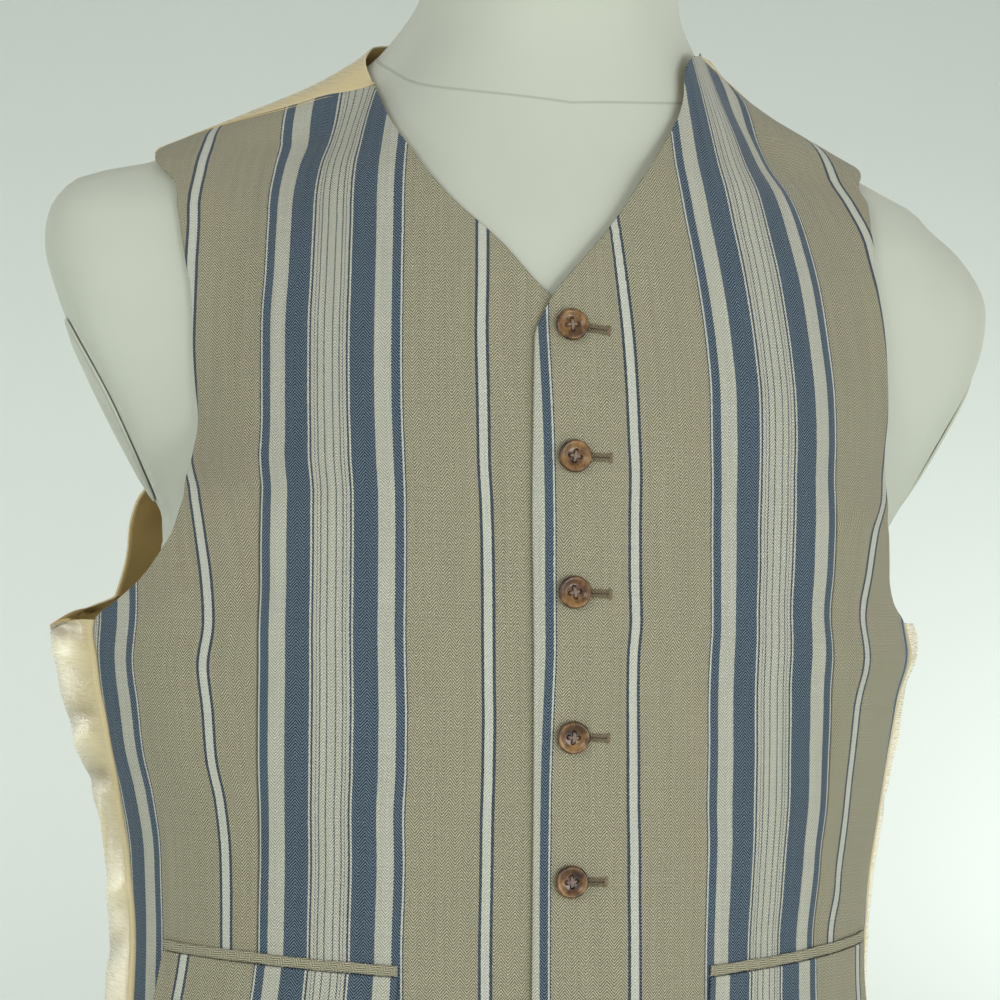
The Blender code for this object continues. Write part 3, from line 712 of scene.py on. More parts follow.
def make_satin(name, light, deep, roughness, coat):
    """Float-faced cloth: fine streaks along the crosswise threads under a soft gloss, and painted shade in
    the crease troughs.
    """
    finish = Finish(name, roughness, Coat_Weight=coat, Coat_Roughness=0.35, Anisotropic=0.3)
    u, v, fold = finish.note("weave")
    streak = finish.noise(finish.place(u * 0.08, v * 2.2), 1.0, 3.0, 0.6)
    cloud = finish.noise(finish.place(u * 0.011 + v * 0.006, v * 0.016 - u * 0.004, 2.7), 1.0, 3.0)
    fine = finish.noise(finish.place(u * 1.6, v * 3.2), 1.0, 2.0, 0.7)
    # Painted shade: the colour goes towards the darker one in the troughs of the creases.
    painted_fold_shade = finish.between(fold, 0.8, -1.1)
    finish.feed("Base Color", finish.mix((streak - 0.5) * 0.1 + (cloud - 0.5) * 0.3 + painted_fold_shade, light, deep))
    finish.feed("Roughness", roughness + (streak - 0.5) * 0.18)
    finish.bump(streak * 0.3 + fine * 0.3, 0.1, 0.03)
    return finish.material


satin = make_satin("gold satin", GOLD, GOLD_CLOUDS_AND_FOLD_SHADE, 0.28, 0.45)
lining = make_satin("gold-brown lining", LINING, LINING_CLOUDS_AND_FOLD_SHADE, 0.55, 0.0)
print("finishes so far:", [m.name for m in bpy.data.materials])

# %% [markdown]
# ## Measuring across the cloth
#
# Stripes follow the flat cloth, so each point needs its distance across the panel, measured round from the
# button line, and its distance up. Both are summed once on a lattice of angles and heights and then read
# off between its points. A short table moves the lines the few millimetres by which the tailoring eases
# them, and gives what the waist dart takes out of the cloth beyond the wide stripe.


# %% The lattice and the set of the stripes
LATTICE_ROUND, LATTICE_UP = 0.5, 4.0
LATTICE_ANGLES = np.arange(-30, 124.1, LATTICE_ROUND)
LATTICE_HEIGHTS = np.arange(120, 722.1, LATTICE_UP)
WIDE_STRIPE, HALF_WIDE, NARROW_STRIPE = {"left": 94.9, "right": 101.5}, 30.1, 65.8
LAP_START, UNDER_START = 4.0, -20.0
STRIPE_SET = {
    "left": table("height narrow wide_near wide_far beyond", [
        (120, 1, 2, 3, 22), (320, 1, 3, 3, 25.6), (340, 1.3, 2.6, 1, 22.2), (360, 1.7, 2.4, -0.5, 20.1),
        (380, 2.5, 3.4, -2.4, 18.9), (400, 2.9, 3.5, -1.6, 17.2), (420, 3.6, 4.2, -0.6, 16),
        (440, 4, 4.6, 1.2, 13.6), (457, 2.6, 3.4, 0.6, 13.6), (477, 2.9, 3.2, -1.2, 10.6),
        (497, 2.9, 3.4, -1.8, 7.4), (516, 2.8, 3.1, -3.6, -7.9), (537, 3.6, 3.3, -6.6, -17.4),
        (554, 4, 3.1, -6.2, -18.6), (574, 4.8, 4.2, -4, -15.6), (593, 6.8, 6.8, -1.2, -11),
        (613, 9.4, 10.2, 2.2, -5), (632, 12, 13.8, 5.2, -0.6), (650, 14, 16.5, 7, 3.4),
        (680, 15, 18, 8, 6),
    ]),
    "right": table("height narrow wide_near wide_far beyond", [
        (120, 0, 1, -1, 15), (310, -0.2, 0.4, -2, 18.2), (350, 0.2, 1.4, -1.4, 18.1),
        (370, 0.3, 1, -1.4, 16.4), (390, 0.6, 1.8, -1.6, 12.4), (410, 0.6, 1.8, -1.5, 11),
        (428, 0.1, 1.2, -1.3, 9), (446, -0.3, 0.6, -1.1, 11.6), (465, -0.2, 0.9, -1.1, 9.9),
        (484, -0.4, 1, -1, 6.8), (502, -1, 0.8, -1.2, 2.2), (522, -2.2, -0.2, -4.9, -9.3),
        (542, -2.4, -1, -5.5, -9), (561, -2.4, -0.8, -5.3, -8.5), (580, -2.2, -0.3, -4.9, -6.5),
        (600, -2, -0.4, -4.1, -5), (619, -2, -0.3, -4.7, -4), (638, -2, -0.5, -6.6, -4.4),
        (660, -2, -0.7, -8.6, -6), (690, -2, -0.7, -9, -7),
    ]),
}
# How far the stripes at the closure lie off an even count
LAP_SHIFT = table("height move", [(300, 2.5), (383, 2.5), (446, 1.5), (488, 1.4), (530, 2.3), (589, 3.8)])


def measure(side):
    """Distance round from the button line and distance up, on the lattice of one side."""
    sign = SIDES[side]
    angle, z = np.meshgrid(LATTICE_ANGLES, LATTICE_HEIGHTS)
    points = cloth_point(np.radians(angle * sign), z)
    step = np.linalg.norm(np.diff(points[..., :2], axis=1), axis=-1)
    round_way = np.concatenate([np.zeros((len(z), 1)), np.cumsum(step, 1)], 1)
    button = curve(BUTTONS["height"][::-1], BUTTONS["angle"][::-1], LATTICE_HEIGHTS) * sign
    start = np.array([np.interp(b, LATTICE_ANGLES, row) for b, row in zip(button, round_way)])
    rise = np.linalg.norm(np.diff(points, axis=0), axis=-1)
    up = np.concatenate([np.zeros((1, len(LATTICE_ANGLES))), np.cumsum(rise, 0)])
    return round_way - start[:, None], up


def between_four(lattice, i, j):
    """Value between four lattice points, weighted by how near each is."""
    a, b = i.astype(int), j.astype(int)
    s, t = i - a, j - b
    low = lattice[a, b] * (1 - t) + lattice[a, b + 1] * t
    high = lattice[a + 1, b] * (1 - t) + lattice[a + 1, b + 1] * t
    return low * (1 - s) + high * s


def read_off(lattice, angle, z):
    """Value of a lattice of angles and heights at any place on it."""
    i = np.clip((z - LATTICE_HEIGHTS[0]) / LATTICE_UP, 0, len(LATTICE_HEIGHTS) - 1.001)
    j = np.clip((angle - LATTICE_ANGLES[0]) / LATTICE_ROUND, 0, len(LATTICE_ANGLES) - 1.001)
    return between_four(lattice, i, j)


def weave_notes(side, angle, z):
    """Distance across the cloth, distance up, and what the dart takes out beyond its seam."""
    round_way, up = (read_off(lattice, angle, z) for lattice in MEASURED[side])
    eased = read_row(STRIPE_SET[side], z)
    middle = WIDE_STRIPE[side]
    narrow, near, far = middle - NARROW_STRIPE, middle - HALF_WIDE, middle + HALF_WIDE
    outer = middle + NARROW_STRIPE
    start = LAP_START if side == "left" else UNDER_START
    first = curve(LAP_SHIFT["height"], LAP_SHIFT["move"], z) if side == "left" else eased["narrow"]
    knots = [start, narrow, near, far, outer]
    moves = [first, eased["narrow"], eased["wide_near"], eased["wide_far"], eased["beyond"]]
    jump = eased["beyond"] - eased["wide_far"]
    dart = np.where(jump > 0, 1.0, 0.0) * (1 - ease((z - DART_TOP + 10) / 10))
    moves[-1] = eased["wide_far"] + jump * (1 - dart)
    move = moves[0]
    for k in range(4):
        low, high = knots[k] - moves[k], knots[k + 1] - moves[k + 1]
        share = np.clip((round_way - low) / (high - low), 0, 1)
        move = move + (moves[k + 1] - moves[k]) * share
    return np.stack([round_way + move, up, jump * dart], -1)


MEASURED = {side: measure(side) for side in SIDES}
chest = [float(read_off(MEASURED[side][0], np.array(90.0), np.array(560.0))) for side in SIDES]
print("from the buttons to the side at 560 mm:", [round(way) for way in chest])

# %% [markdown]
# ## The dress form
#
# A display form is a smooth padded shell under a tight off-white cover, closed by a flat oval board at each
# stub. It is one loft of sections here. Its points are spread evenly round each section, or the stubs would
# be coarse. The cover gets a very fine knit, a seam at the neck base and a seam down each side.

# %% The cover's finish
COVER, COVER_SHADE, COVER_SEAM = tone(202, 206, 192), tone(188, 193, 178), tone(150, 156, 142)
NECK_SEAM = table("angle height", [(0, 678), (45, 684), (90, 702), (140, 716), (180, 720)])


def make_cover():
    """Off-white stretch cover: fine knit, soft clouding and thin seam lines from distances on the points."""
    finish = Finish("form cover", 0.62, Sheen_Weight=0.15, Sheen_Roughness=0.4, Specular_IOR_Level=0.3)
    x, y, z = finish.object_place()
    u, v, seam = finish.note("weave")
    cloud = finish.noise(finish.place(x, y, z), 14.0, 3.0, 0.6)
    knit = finish.noise(finish.place(u * 1.5, v * 1.5), 1.0, 2.0, 0.7)
    line = finish.near(seam, 0.0, 0.8)
    colour = finish.mix(cloud * 0.7 + knit * 0.25, COVER, COVER_SHADE)
    finish.feed("Base Color", finish.mix(line * 0.5, colour, COVER_SEAM))
    finish.feed("Roughness", 0.56 + knit * 0.14)
    finish.bump(knit + line * -3, 0.25, 0.1)
    return finish.material


cover = make_cover()

# %% Building the form
FORM_TOP, NECK_TOP_SHARE = 790.0, 0.88
FORM_AROUND, FORM_UP, TOP_ROLL = 192, 190, 7
SIDE_SEAM_AT, SIDE_SEAM_TOP, NECK_SEAM_FROM, SEAM_REACH, NO_SEAM = 92, 470, 500, 150, 99


def form_rings():
    """Sections of the form from the base up, spread evenly round, with the flat cut at the stubs in them."""
    heights = np.linspace(0, FORM_TOP, FORM_UP)
    fine = np.linspace(0, 2 * np.pi, 1441)
    rings, lengths = [], []
    for level in heights:
        p = form_skin(fine, np.full(fine.shape, level))
        length = np.concatenate([[0], np.cumsum(np.linalg.norm(np.diff(p, axis=0), axis=1))])
        turn = np.interp(np.linspace(0, length[-1], FORM_AROUND, endpoint=False), length, fine)
        rings.append(form_skin(turn, np.full(turn.shape, level)))
        lengths.append(np.stack([np.interp(turn, fine, length), turn], -1))
    rings, lengths = np.array(rings), np.array(lengths)
    late = ease((rings[..., 2] - FORM_TOP + TOP_ROLL) / TOP_ROLL)[..., None]
    rings[..., :2] *= 1 - (1 - NECK_TOP_SHARE) * late
    return rings, lengths


def make_form():
    """The form's cover as one closed mesh; the last of its notes is the distance past the nearest seam."""
    rings, lengths = form_rings()
    turn = np.degrees(lengths[..., 1])
    turned = np.minimum(turn, 360 - turn)
    neck = rings[..., 2] - curve(NECK_SEAM["angle"], NECK_SEAM["height"], turned)
    side = np.radians(turned - SIDE_SEAM_AT) * SEAM_REACH
    side = np.where(rings[..., 2] < SIDE_SEAM_TOP, side, -NO_SEAM)
    seam = np.where(rings[..., 2] < NECK_SEAM_FROM, side, neck)
    notes = np.stack([lengths[..., 0], rings[..., 2], seam], -1)
    layers, extra = [rings], [notes]
    for k, place in ((0, 0), (-1, len(rings))):
        middle = rings[k].mean(0)
        for share in (0.6, 0.0):
            cap = middle + (rings[k] - middle) * share
            note = notes[k].copy()
            note[:, 2] = NO_SEAM
            if k == 0:
                layers.insert(0, cap[None])
                extra.insert(0, note[None])
            else:
                layers.append(cap[None])
                extra.append(note[None])
    return capped_mesh("form_cover", np.concatenate(layers), [cover], {"weave": np.concatenate(extra)})


form = dress(make_form(), "form_cover", "form_body")
print("form cover:", len(form.data.polygons), "faces")

# %% [markdown]
# ## The boards at the arm stubs
#
# Each stub is closed by a thin oval board under the same cover. A rounded profile is carried round the
# oval: the board's edge rolls over with a quarter circle, which catches a thin line of light as on the real
# one.

# %% Building the boards
BOARD_Y, BOARD_Z, BOARD_HALF_Y, BOARD_HALF_Z, BOARD_WALL = 8.0, 537.0, 26.0, 40.0, 3.0
BOARD_ROUND, BOARD_SEAM, BOARD_THIN = 1.1, 1.6, 0.65


def stub_face(side, y, z):
    """How far out the stub's face lies at a place, read off a lattice of its own sections."""
    tilt = np.radians(np.linspace(10, 170, 321)) * SIDES[side]
    levels, spread = np.arange(480, 601, 2.0), np.arange(-44, 61, 1.0)
    found = []
    for level in levels:
        p = form_skin(tilt, np.full(tilt.shape, level))
        order = np.argsort(p[:, 1])
        found.append(np.interp(spread, p[order, 1], np.abs(p[order, 0])))
    return between_four(np.array(found), (z - levels[0]) / (levels[1] - levels[0]), y - spread[0])


def make_plate(side):
    """Oval rings over the stub's own face, from the middle of one side over the rounded rim to the other."""
    turn = np.linspace(0, 2 * np.pi, 120, endpoint=False)[None, :]
    arc = np.radians(np.arange(0, 91, 15))
    near = [0.0, 0.35, 0.7, 0.9]
    inset = [(1 - share) * BOARD_HALF_Y for share in near] + [BOARD_ROUND * (1 - np.sin(a)) for a in arc]
    depth = [0.0] * len(near) + [BOARD_ROUND * (1 - np.cos(a)) for a in arc]
    inset = np.array(inset + inset[::-1])[:, None]
    reach = 1 - inset / BOARD_HALF_Y
    depth = np.array(depth + [BOARD_WALL - d for d in depth[::-1]])[:, None] * (1 - BOARD_THIN * reach ** 3)
    ty = BOARD_Y + (BOARD_HALF_Y * reach) * np.sin(turn)
    squeeze = 1 + (1 - reach) * (BOARD_HALF_Z / BOARD_HALF_Y - 1)
    tz = BOARD_Z + (BOARD_HALF_Z - inset * squeeze) * np.cos(turn)
    off = (PLATE_GAP + depth) / np.hypot(1, PLATE_SLOPE)
    x = stub_face(side, ty, tz + 0 * ty) + off
    grid = np.stack(np.broadcast_arrays(SIDES[side] * x, ty, tz - off * PLATE_SLOPE), -1)
    edge = inset + 0 * turn
    notes = np.stack([ty + 0 * edge, tz + 0 * edge, edge - BOARD_SEAM], -1)
    return capped_mesh("form_board_" + side, grid, [cover], {"weave": notes}, turned=side == "left")


for side in SIDES:
    board = dress(make_plate(side), "form_cover", "form_arm_plate_" + side)
    print(board.name, len(board.data.polygons), "faces")

# %% [markdown]
# ## Creases
#
# Cloth hung on a form is never smooth. Each crease is a short line on the cloth, given by its two ends as
# angle and height, with a width and a height in millimetres: a bell curve of the distance from the line,
# faded at the ends. A trough has a negative height. They are listed one by one, because a simulation would
# not put them where the real cloth shows them.

# %% Creases of the fronts and the back
CREASES = {
    "front_left": table("angle height angle_end height_end width lift", [
        (46, 470, 58, 380, 7, 0.8), (58, 466, 66, 400, 6, -0.8), (30, 520, 44, 470, 9, -0.5),
        (12, 600, 26, 560, 10, -0.4), (38, 372, 40, 330, 6, 0.6), (52, 352, 66, 330, 7, 0.6),
        (20, 300, 26, 210, 10, 0.7), (44, 250, 48, 190, 10, -0.8), (16, 440, 28, 452, 10, 0.4),
        (62, 300, 70, 250, 8, 0.8), (8, 350, 20, 336, 9, -0.4), (30, 640, 60, 636, 12, 0.3),
    ]),
    "front_right": table("angle height angle_end height_end width lift", [
        (44, 476, 56, 452, 9, -0.7), (52, 440, 64, 426, 8, 0.6), (60, 470, 66, 430, 6, 0.8),
        (28, 560, 46, 500, 12, -0.4), (34, 420, 38, 340, 8, 0.6), (50, 380, 56, 330, 7, -0.7),
        (18, 330, 24, 230, 10, 0.7), (40, 260, 46, 200, 10, -0.8), (12, 460, 26, 430, 11, 0.4),
        (64, 300, 70, 240, 8, 0.8), (14, 372, 30, 352, 9, -0.4), (34, 640, 64, 630, 12, 0.3),
    ]),
    "back_left": table("angle height angle_end height_end width lift", [
        (78, 452, 98, 446, 4, 1.4), (76, 432, 110, 424, 6, -1.8), (80, 404, 100, 386, 6, 1.6),
        (76, 376, 96, 380, 5, -1.5), (84, 352, 112, 340, 7, 1.4), (78, 322, 100, 314, 6, -1.2),
        (110, 440, 140, 412, 9, 1.8), (104, 386, 150, 366, 8, -1.6), (120, 350, 165, 330, 9, 1.5),
        (112, 480, 132, 520, 8, -1.2), (130, 560, 160, 600, 12, -0.8), (140, 470, 175, 440, 10, 1.3),
        (100, 290, 140, 262, 9, -1.2), (150, 300, 176, 250, 9, 1.2), (96, 250, 110, 205, 8, 1.2),
        (130, 240, 138, 200, 8, -1.2), (124, 640, 150, 650, 10, -0.8), (100, 664, 130, 690, 7, 0.6),
    ]),
    "back_right": table("angle height angle_end height_end width lift", [
        (78, 440, 104, 441, 3.5, -2.2), (76, 428, 106, 428, 5, 1.2), (78, 404, 92, 396, 4, -1.2),
        (80, 391, 100, 382, 4.5, 1.4), (78, 376, 104, 366, 4.5, -2), (84, 360, 88, 338, 3, 1.6),
        (92, 352, 112, 330, 6, -1.4), (76, 330, 96, 316, 5, 1.2), (82, 300, 104, 288, 6, -1.4),
        (108, 420, 142, 400, 9, 1.8), (104, 372, 152, 352, 8, -1.6), (122, 336, 168, 318, 9, 1.5),
        (113, 486, 134, 524, 8, -1.2), (128, 566, 158, 604, 12, -0.8), (142, 462, 176, 432, 10, 1.3),
        (100, 268, 142, 250, 9, -1.2), (96, 240, 108, 200, 8, 1.2), (150, 280, 174, 236, 9, 1.2),
        (126, 644, 150, 652, 10, -0.8), (98, 656, 128, 686, 7, 0.6),
    ]),
}
BEND_REACH = 165.0


def crease_lift(name, angle, z):
    """Sum over the creases of a bell curve of the distance from each line, fading past its ends."""
    x, total = np.radians(angle) * BEND_REACH, 0.0
    for a, h, b, g, width, lift in zip(*CREASES[name].values()):
        ax, bx = np.radians(a) * BEND_REACH, np.radians(b) * BEND_REACH
        run = np.array([bx - ax, g - h])
        long = np.hypot(*run)
        share = ((x - ax) * run[0] + (z - h) * run[1]) / long ** 2
        off = ((x - ax) * run[1] - (z - h) * run[0]) / long
        past = np.maximum(np.maximum(-share, share - 1), 0) * long
        swell = 0.55 + 0.45 * np.sin(np.clip(share, 0, 1) * np.pi)
        total = total + lift * swell * np.exp(-(off / width) ** 2) * np.exp(-(past / (1.6 * width)) ** 2)
    return total


RIPPLE = {"front": (0.12, 38.0), "back": (0.22, 33.0)}
RIPPLE_WAVES, RIPPLE_BEND = ((1.0, 0.35, 0.4), (0.4, 1.15, 2.1), (-0.8, 0.75, 4.0)), 47


def ripple(kind, angle, z):
    """Faint unevenness from three crossed sine waves, so that no panel is perfectly smooth."""
    size, wave = RIPPLE[kind]
    x = np.radians(angle) * BEND_REACH
    bends = [(a * x + b * z) / wave * 2 * np.pi + c + np.sin(z / RIPPLE_BEND + c) for a, b, c in RIPPLE_WAVES]
    return size * sum(np.sin(bend) for bend in bends) / 3


print("creases:", {name: len(rows["lift"]) for name, rows in CREASES.items()})

# %% [markdown]
# ## Turned edges
#
# A sewn edge is folded under, so it ends in a small roll and not in a sharp corner. The distance of every
# point to the nearest edge is summed along the grid, and the last millimetre and a bit drops in along a
# quarter circle. Extra rows and columns close to the edges give that roll its shape.

# %% Edges
EDGE_STEPS = np.array([0.35, 0.8, 1.4, 2.6])
EDGE_ROLL, EDGE_DROP = 1.4, 0.55


def crowded(count, length):
    """Shares from 0 to 1 with extra steps close to both ends."""
    near = EDGE_STEPS / length
    middle = np.linspace(0, 1, count)
    middle = middle[(middle > near[-1] * 1.4) & (middle < 1 - near[-1] * 1.4)]
    return np.concatenate([[0], near, middle, 1 - near[::-1], [1]])


def edge_distance(grid):
    """Distance along the grid from each point to the nearest edge of the panel."""
    side_step = np.linalg.norm(np.diff(grid, axis=1), axis=-1)
    up_step = np.linalg.norm(np.diff(grid, axis=0), axis=-1)
    from_first = np.concatenate([np.zeros((len(grid), 1)), np.cumsum(side_step, 1)], 1)
    from_hem = np.concatenate([np.zeros((1, grid.shape[1])), np.cumsum(up_step, 0)])
    return np.minimum.reduce([
        from_first, from_first[:, -1:] - from_first, from_hem, from_hem[-1:] - from_hem,
    ])


def edge_drop(distance):
    """Quarter circle over the last stretch before an edge."""
    near = np.clip(1 - distance / EDGE_ROLL, 0, 1)
    return EDGE_DROP * (1 - np.sqrt(1 - near ** 2))


# %% [markdown]
# ## The striped fronts
#
# The two fronts are cut from the same striped cloth but not from mirrored places in it, and the wearer's
# left one laps over the right. The waist dart is a seam along the outer edge of the wide stripe, where the
# stripes beyond it suddenly shift, as they do on the real garment.

# %% Building the fronts
DART_AT = {side: WIDE_STRIPE[side] + HALF_WIDE + 0.6 for side in SIDES}
FRONT_THICK, FRONT_HELD, DEEPEST, DART_WIDTH, DART_PULL = 1.5, 14, -0.9, 1.6, 0.35
striped = {side: make_cloth("striped cloth " + side, WIDE_STRIPE[side], DART_AT[side]) for side in SIDES}


def make_front(side):
    """One front: the cut patch, creased, with its edges rolled in."""
    rows, s = crowded(190, 560), crowded(112, 190)
    angle, z = front_cut(side, rows, s)
    turned = np.radians(angle * SIDES[side])
    flat = front_point(side, turned, z)
    distance = edge_distance(flat)
    held = ease(distance / FRONT_HELD)
    name = "front_" + side
    lift = (crease_lift(name, angle, z) + ripple("front", angle * SIDES[side], z)) * held
    weave = weave_notes(side, angle, z)
    dart = np.exp(-((weave[..., 0] - DART_AT[side]) / DART_WIDTH) ** 2) * (1 - ease((z - DART_TOP + 12) / 12))
    grid = front_point(side, turned, z, np.maximum(lift, DEEPEST) - edge_drop(distance) - DART_PULL * dart)
    notes = {"weave": weave, "spot": np.stack([distance, z, angle], -1)}
    thing = shell(name + "_cloth", grid, FRONT_THICK, [striped[side], lining], notes, side == "right")
    return dress(thing, "striped_cloth", name)


fronts = {side: make_front(side) for side in SIDES}
for side, thing in fronts.items():
    print(thing.name, len(thing.data.vertices), "points")

# %% [markdown]
# ## The satin back
#
# The back is two halves with a seam down the middle. It hangs loose at the waist, so it carries the most
# creases, and it is lined with the same yarn in a dull weave that shows through the armhole.

# %% Building the back
BACK_THICK, BACK_HELD, FOLD_DEPTH, ROOM_WORN, ROOM_LOOSE = 1.2, 12, 0.8, 1.2, 2.4
ARMHOLE_ROWS = np.linspace(0.4335, 0.4502, 44)


def make_back(side):
    """One half of the back, creased; its weave notes are the distances round and up."""
    rows, s = np.union1d(crowded(210, 560), ARMHOLE_ROWS), crowded(110, 250)
    angle, z = back_cut(side, rows, s)
    turned = np.radians(angle * SIDES[side])
    flat = cloth_point(turned, z)
    distance = edge_distance(flat)
    held = ease(distance / BACK_HELD)
    name = "back_" + side
    creases = crease_lift(name, angle, z) * held
    lift = creases + ripple("back", angle * SIDES[side], z) * held
    seated = ease((z - WORN_FROM) / (WORN_TO - WORN_FROM))
    lift = np.maximum(lift * FOLD_DEPTH, -ROOM_WORN - ROOM_LOOSE * (1 - seated))
    grid = cloth_point(turned, z) + outward(cloth_point, turned, z) * (lift - edge_drop(distance))[..., None]
    # The third note is the crease lift, which the satin and the lining turn into painted shade in the
    # troughs.
    notes = {"weave": np.stack([np.radians(angle) * BEND_REACH, z, creases * FOLD_DEPTH], -1)}
    thing = shell(name + "_cloth", grid, BACK_THICK, [satin, lining], notes, side == "right")
    return dress(thing, "satin", name)


backs = {side: make_back(side) for side in SIDES}
for side, thing in backs.items():
    print(thing.name, len(thing.data.vertices), "points")

# %% [markdown]
# ## Pockets
#
# Each pocket mouth is finished with a narrow rounded strip of plain ground, the jet, seamed into the cloth
# above it. A flap hangs from under the jet. It is cut so that its stripes meet those of the front at the
# inner end and then run square to the mouth, so beyond the dart they no longer meet: that is how it is on
# the real one.

# %% Building the jets and the flaps
JET_HEIGHT, JET_WALL, JET_RISE, JET_CROWN = 4.5, 1.3, 0.35, 0.55
FLAP_HEIGHT, FLAP_WALL, FLAP_CORNER, FLAP_CURL, FLAP_SLANT, FLAP_WIDTH = 46.0, 1.6, 16.0, 2.0, 7.0, 140.0
FLAP_THICK = 1.4
jet_cloth = make_cloth("plain ground cloth")
flap_cloth = {side: make_cloth("striped flap cloth " + side, WIDE_STRIPE[side]) for side in SIDES}


def pocket_line(side, share):
    """Angle and height along a pocket mouth."""
    inner, inner_z, outer, outer_z = POCKETS[side]
    return inner + (outer - inner) * share, inner_z + (outer_z - inner_z) * share


def make_jet(side):
    """Rounded strip: its face rises by a half circle across its height and closes down at both ends."""
    s = crowded(90, 140)[None, :]
    drop = np.sin(np.linspace(-np.pi / 2, np.pi / 2, 15))[:, None] / 2
    angle, z = pocket_line(side, s)
    end = np.minimum(s, 1 - s) * FLAP_WIDTH
    close = 1 - 0.6 * np.clip(1 - end / 1.4, 0, 1) ** 2
    dome = np.sqrt(np.maximum(1 - (2 * drop) ** 2, 0)) * close
    bulge = JET_RISE + (JET_WALL - JET_CROWN) + JET_CROWN * 1.5 * dome
    wobble = 0.12 * np.sin(s * 31 + 1.3) + 0.1 * np.sin(s * 13)
    turned = np.radians((angle + 0 * drop) * SIDES[side])
    grid = front_point(side, turned, z + drop * JET_HEIGHT + wobble, bulge + 0 * s)
    run = s * FLAP_WIDTH * 0.7
    notes = {"weave": np.stack(np.broadcast_arrays(run + drop * 3, run - drop * 3, 0 * drop), -1)}
    thing = shell("jet_" + side, grid, JET_WALL - JET_CROWN, [jet_cloth] * 2, notes, side == "right")
    return dress(thing, "striped_cloth", "pocket_jet_" + side)


def make_flap(side):
    """The flap: rounded lower corners, curling out a little at its lower edge."""
    s, t = crowded(90, 140)[None, :], crowded(32, 46)[:, None]
    inner, _, outer, _ = POCKETS[side]
    length = s * FLAP_WIDTH
    near = np.minimum(length, FLAP_WIDTH - length)
    lack = FLAP_CORNER - np.sqrt(np.maximum(FLAP_CORNER ** 2 - np.maximum(FLAP_CORNER - near, 0) ** 2, 0))
    drop = -JET_HEIGHT / 2 - PIECE_GAP - (FLAP_HEIGHT - lack) * t
    angle, z = pocket_line(side, s)
    slant = FLAP_SLANT / FLAP_WIDTH * abs(outer - inner) * (-drop / FLAP_HEIGHT) * s
    wave = 0.5 * np.sin(s * 9 + 0.7) * t ** 2 + 0.3 * np.sin(s * 17 + 2) * t ** 3
    out = PIECE_GAP + FLAP_WALL + FLAP_CURL * t ** 2 + wave
    turned = np.radians((angle + slant) * SIDES[side])
    grid = front_point(side, turned, z + drop, out + 0 * s)
    distance = edge_distance(grid)
    grid = front_point(side, turned, z + drop, out - edge_drop(distance))
    across_cloth = weave_notes(side, angle[0], z[0])[:, 0][None, :]
    weave = np.stack(np.broadcast_arrays(across_cloth, z + drop, 0 * drop), -1)
    finishes = [flap_cloth[side], lining]
    thing = shell("flap_" + side, grid, FLAP_THICK, finishes, {"weave": weave}, side == "left")
    return dress(thing, "striped_cloth", "pocket_flap_" + side)


jets = {side: make_jet(side) for side in SIDES}
flaps = {side: make_flap(side) for side in SIDES}
print("pocket pieces:", [p.name for p in [*jets.values(), *flaps.values()]])

# %% [markdown]
# ## Horn buttons
#
# A button is turned: a profile of radius and height carried round an axis. Its rim stands up, its middle is
# dished, and four holes are sunk into it by taking four small soft wells off the height. Horn is brown with
# cloudy amber patches under a polish, so the finish is layered noise with a clear coat.

# %% The horn
HORN_DARK, HORN, AMBER = tone(36, 20, 10), tone(92, 62, 33), tone(146, 110, 62)


def make_horn():
    """Brown horn: a ramp over cloudy noise, darker in fine streaks."""
    finish = Finish("brown horn", 0.36, Coat_Weight=0.35, Coat_Roughness=0.1, Specular_IOR_Level=0.4)
    x, y, z = finish.object_place()
    cloud = finish.noise(finish.place(x, y, z), 150.0, 3.0, 0.55)
    streak = finish.noise(finish.place(x * 2.4, y, z * 0.7), 420.0, 2.0, 0.6)
    face, _, _ = finish.note("weave")
    ring = finish.between(face, 0.42, 0.7) - finish.between(face, 0.84, 1.0) * 1.4
    mixed = cloud * 0.66 + streak * 0.2 + 0.05 + ring * 0.06
    finish.feed("Base Color", finish.ramp(mixed, [(0.36, HORN_DARK), (0.5, HORN), (0.64, AMBER)]))
    finish.feed("Roughness", 0.36 + streak * 0.16)
    return finish.material


# %% Building the buttons
BUTTON_WIDTH, BUTTON_GAP = 14.0, 0.4
BUTTON_PROFILE = table("step radius height", [
    (0, 0, 1.75), (1, 0.25, 1.75), (2, 0.5, 1.9), (3, 0.62, 2.25), (4, 0.76, 2.85), (5, 0.86, 3.0),
    (6, 0.94, 2.75), (7, 1, 1.8), (8, 0.97, 0.9), (9, 0.85, 0.25), (10, 0.6, 0.0), (11, 0, 0.0),
])
HOLE_RADIUS, HOLE_OUT, HOLE_DEPTH = 0.9, 2.2, 1.2
BUTTON_TURNS = (0.10, -0.16, 0.22, -0.05, 0.14, 0.3)
horn = make_horn()


def button_frame(number):
    """Spot on the lap and the button's own three directions: to the wearer's left, up, and outward."""
    angle, z = np.radians(BUTTONS["angle"][number]), BUTTONS["height"][number]
    spot = front_point("left", angle, z, BUTTON_GAP)
    facing = outward(cloth_point, angle, z)
    right = np.cross([0, 0, 1.0], facing)
    right /= np.linalg.norm(right)
    up, turn = np.cross(facing, right), BUTTON_TURNS[number]
    return spot, right * np.cos(turn) + up * np.sin(turn), up * np.cos(turn) - right * np.sin(turn), facing


def button_height(radius, x, y, height):
    """Profile height less four soft wells for the holes, on the upper side only."""
    wells = 0.0
    for sx, sy in ((1, 0), (-1, 0), (0, 1), (0, -1)):
        away = np.hypot(x - sx * HOLE_OUT, y - sy * HOLE_OUT)
        wells = wells + 1 - ease((away - HOLE_RADIUS * 0.6) / (HOLE_RADIUS * 0.55))
    return height - HOLE_DEPTH * np.minimum(wells, 1)


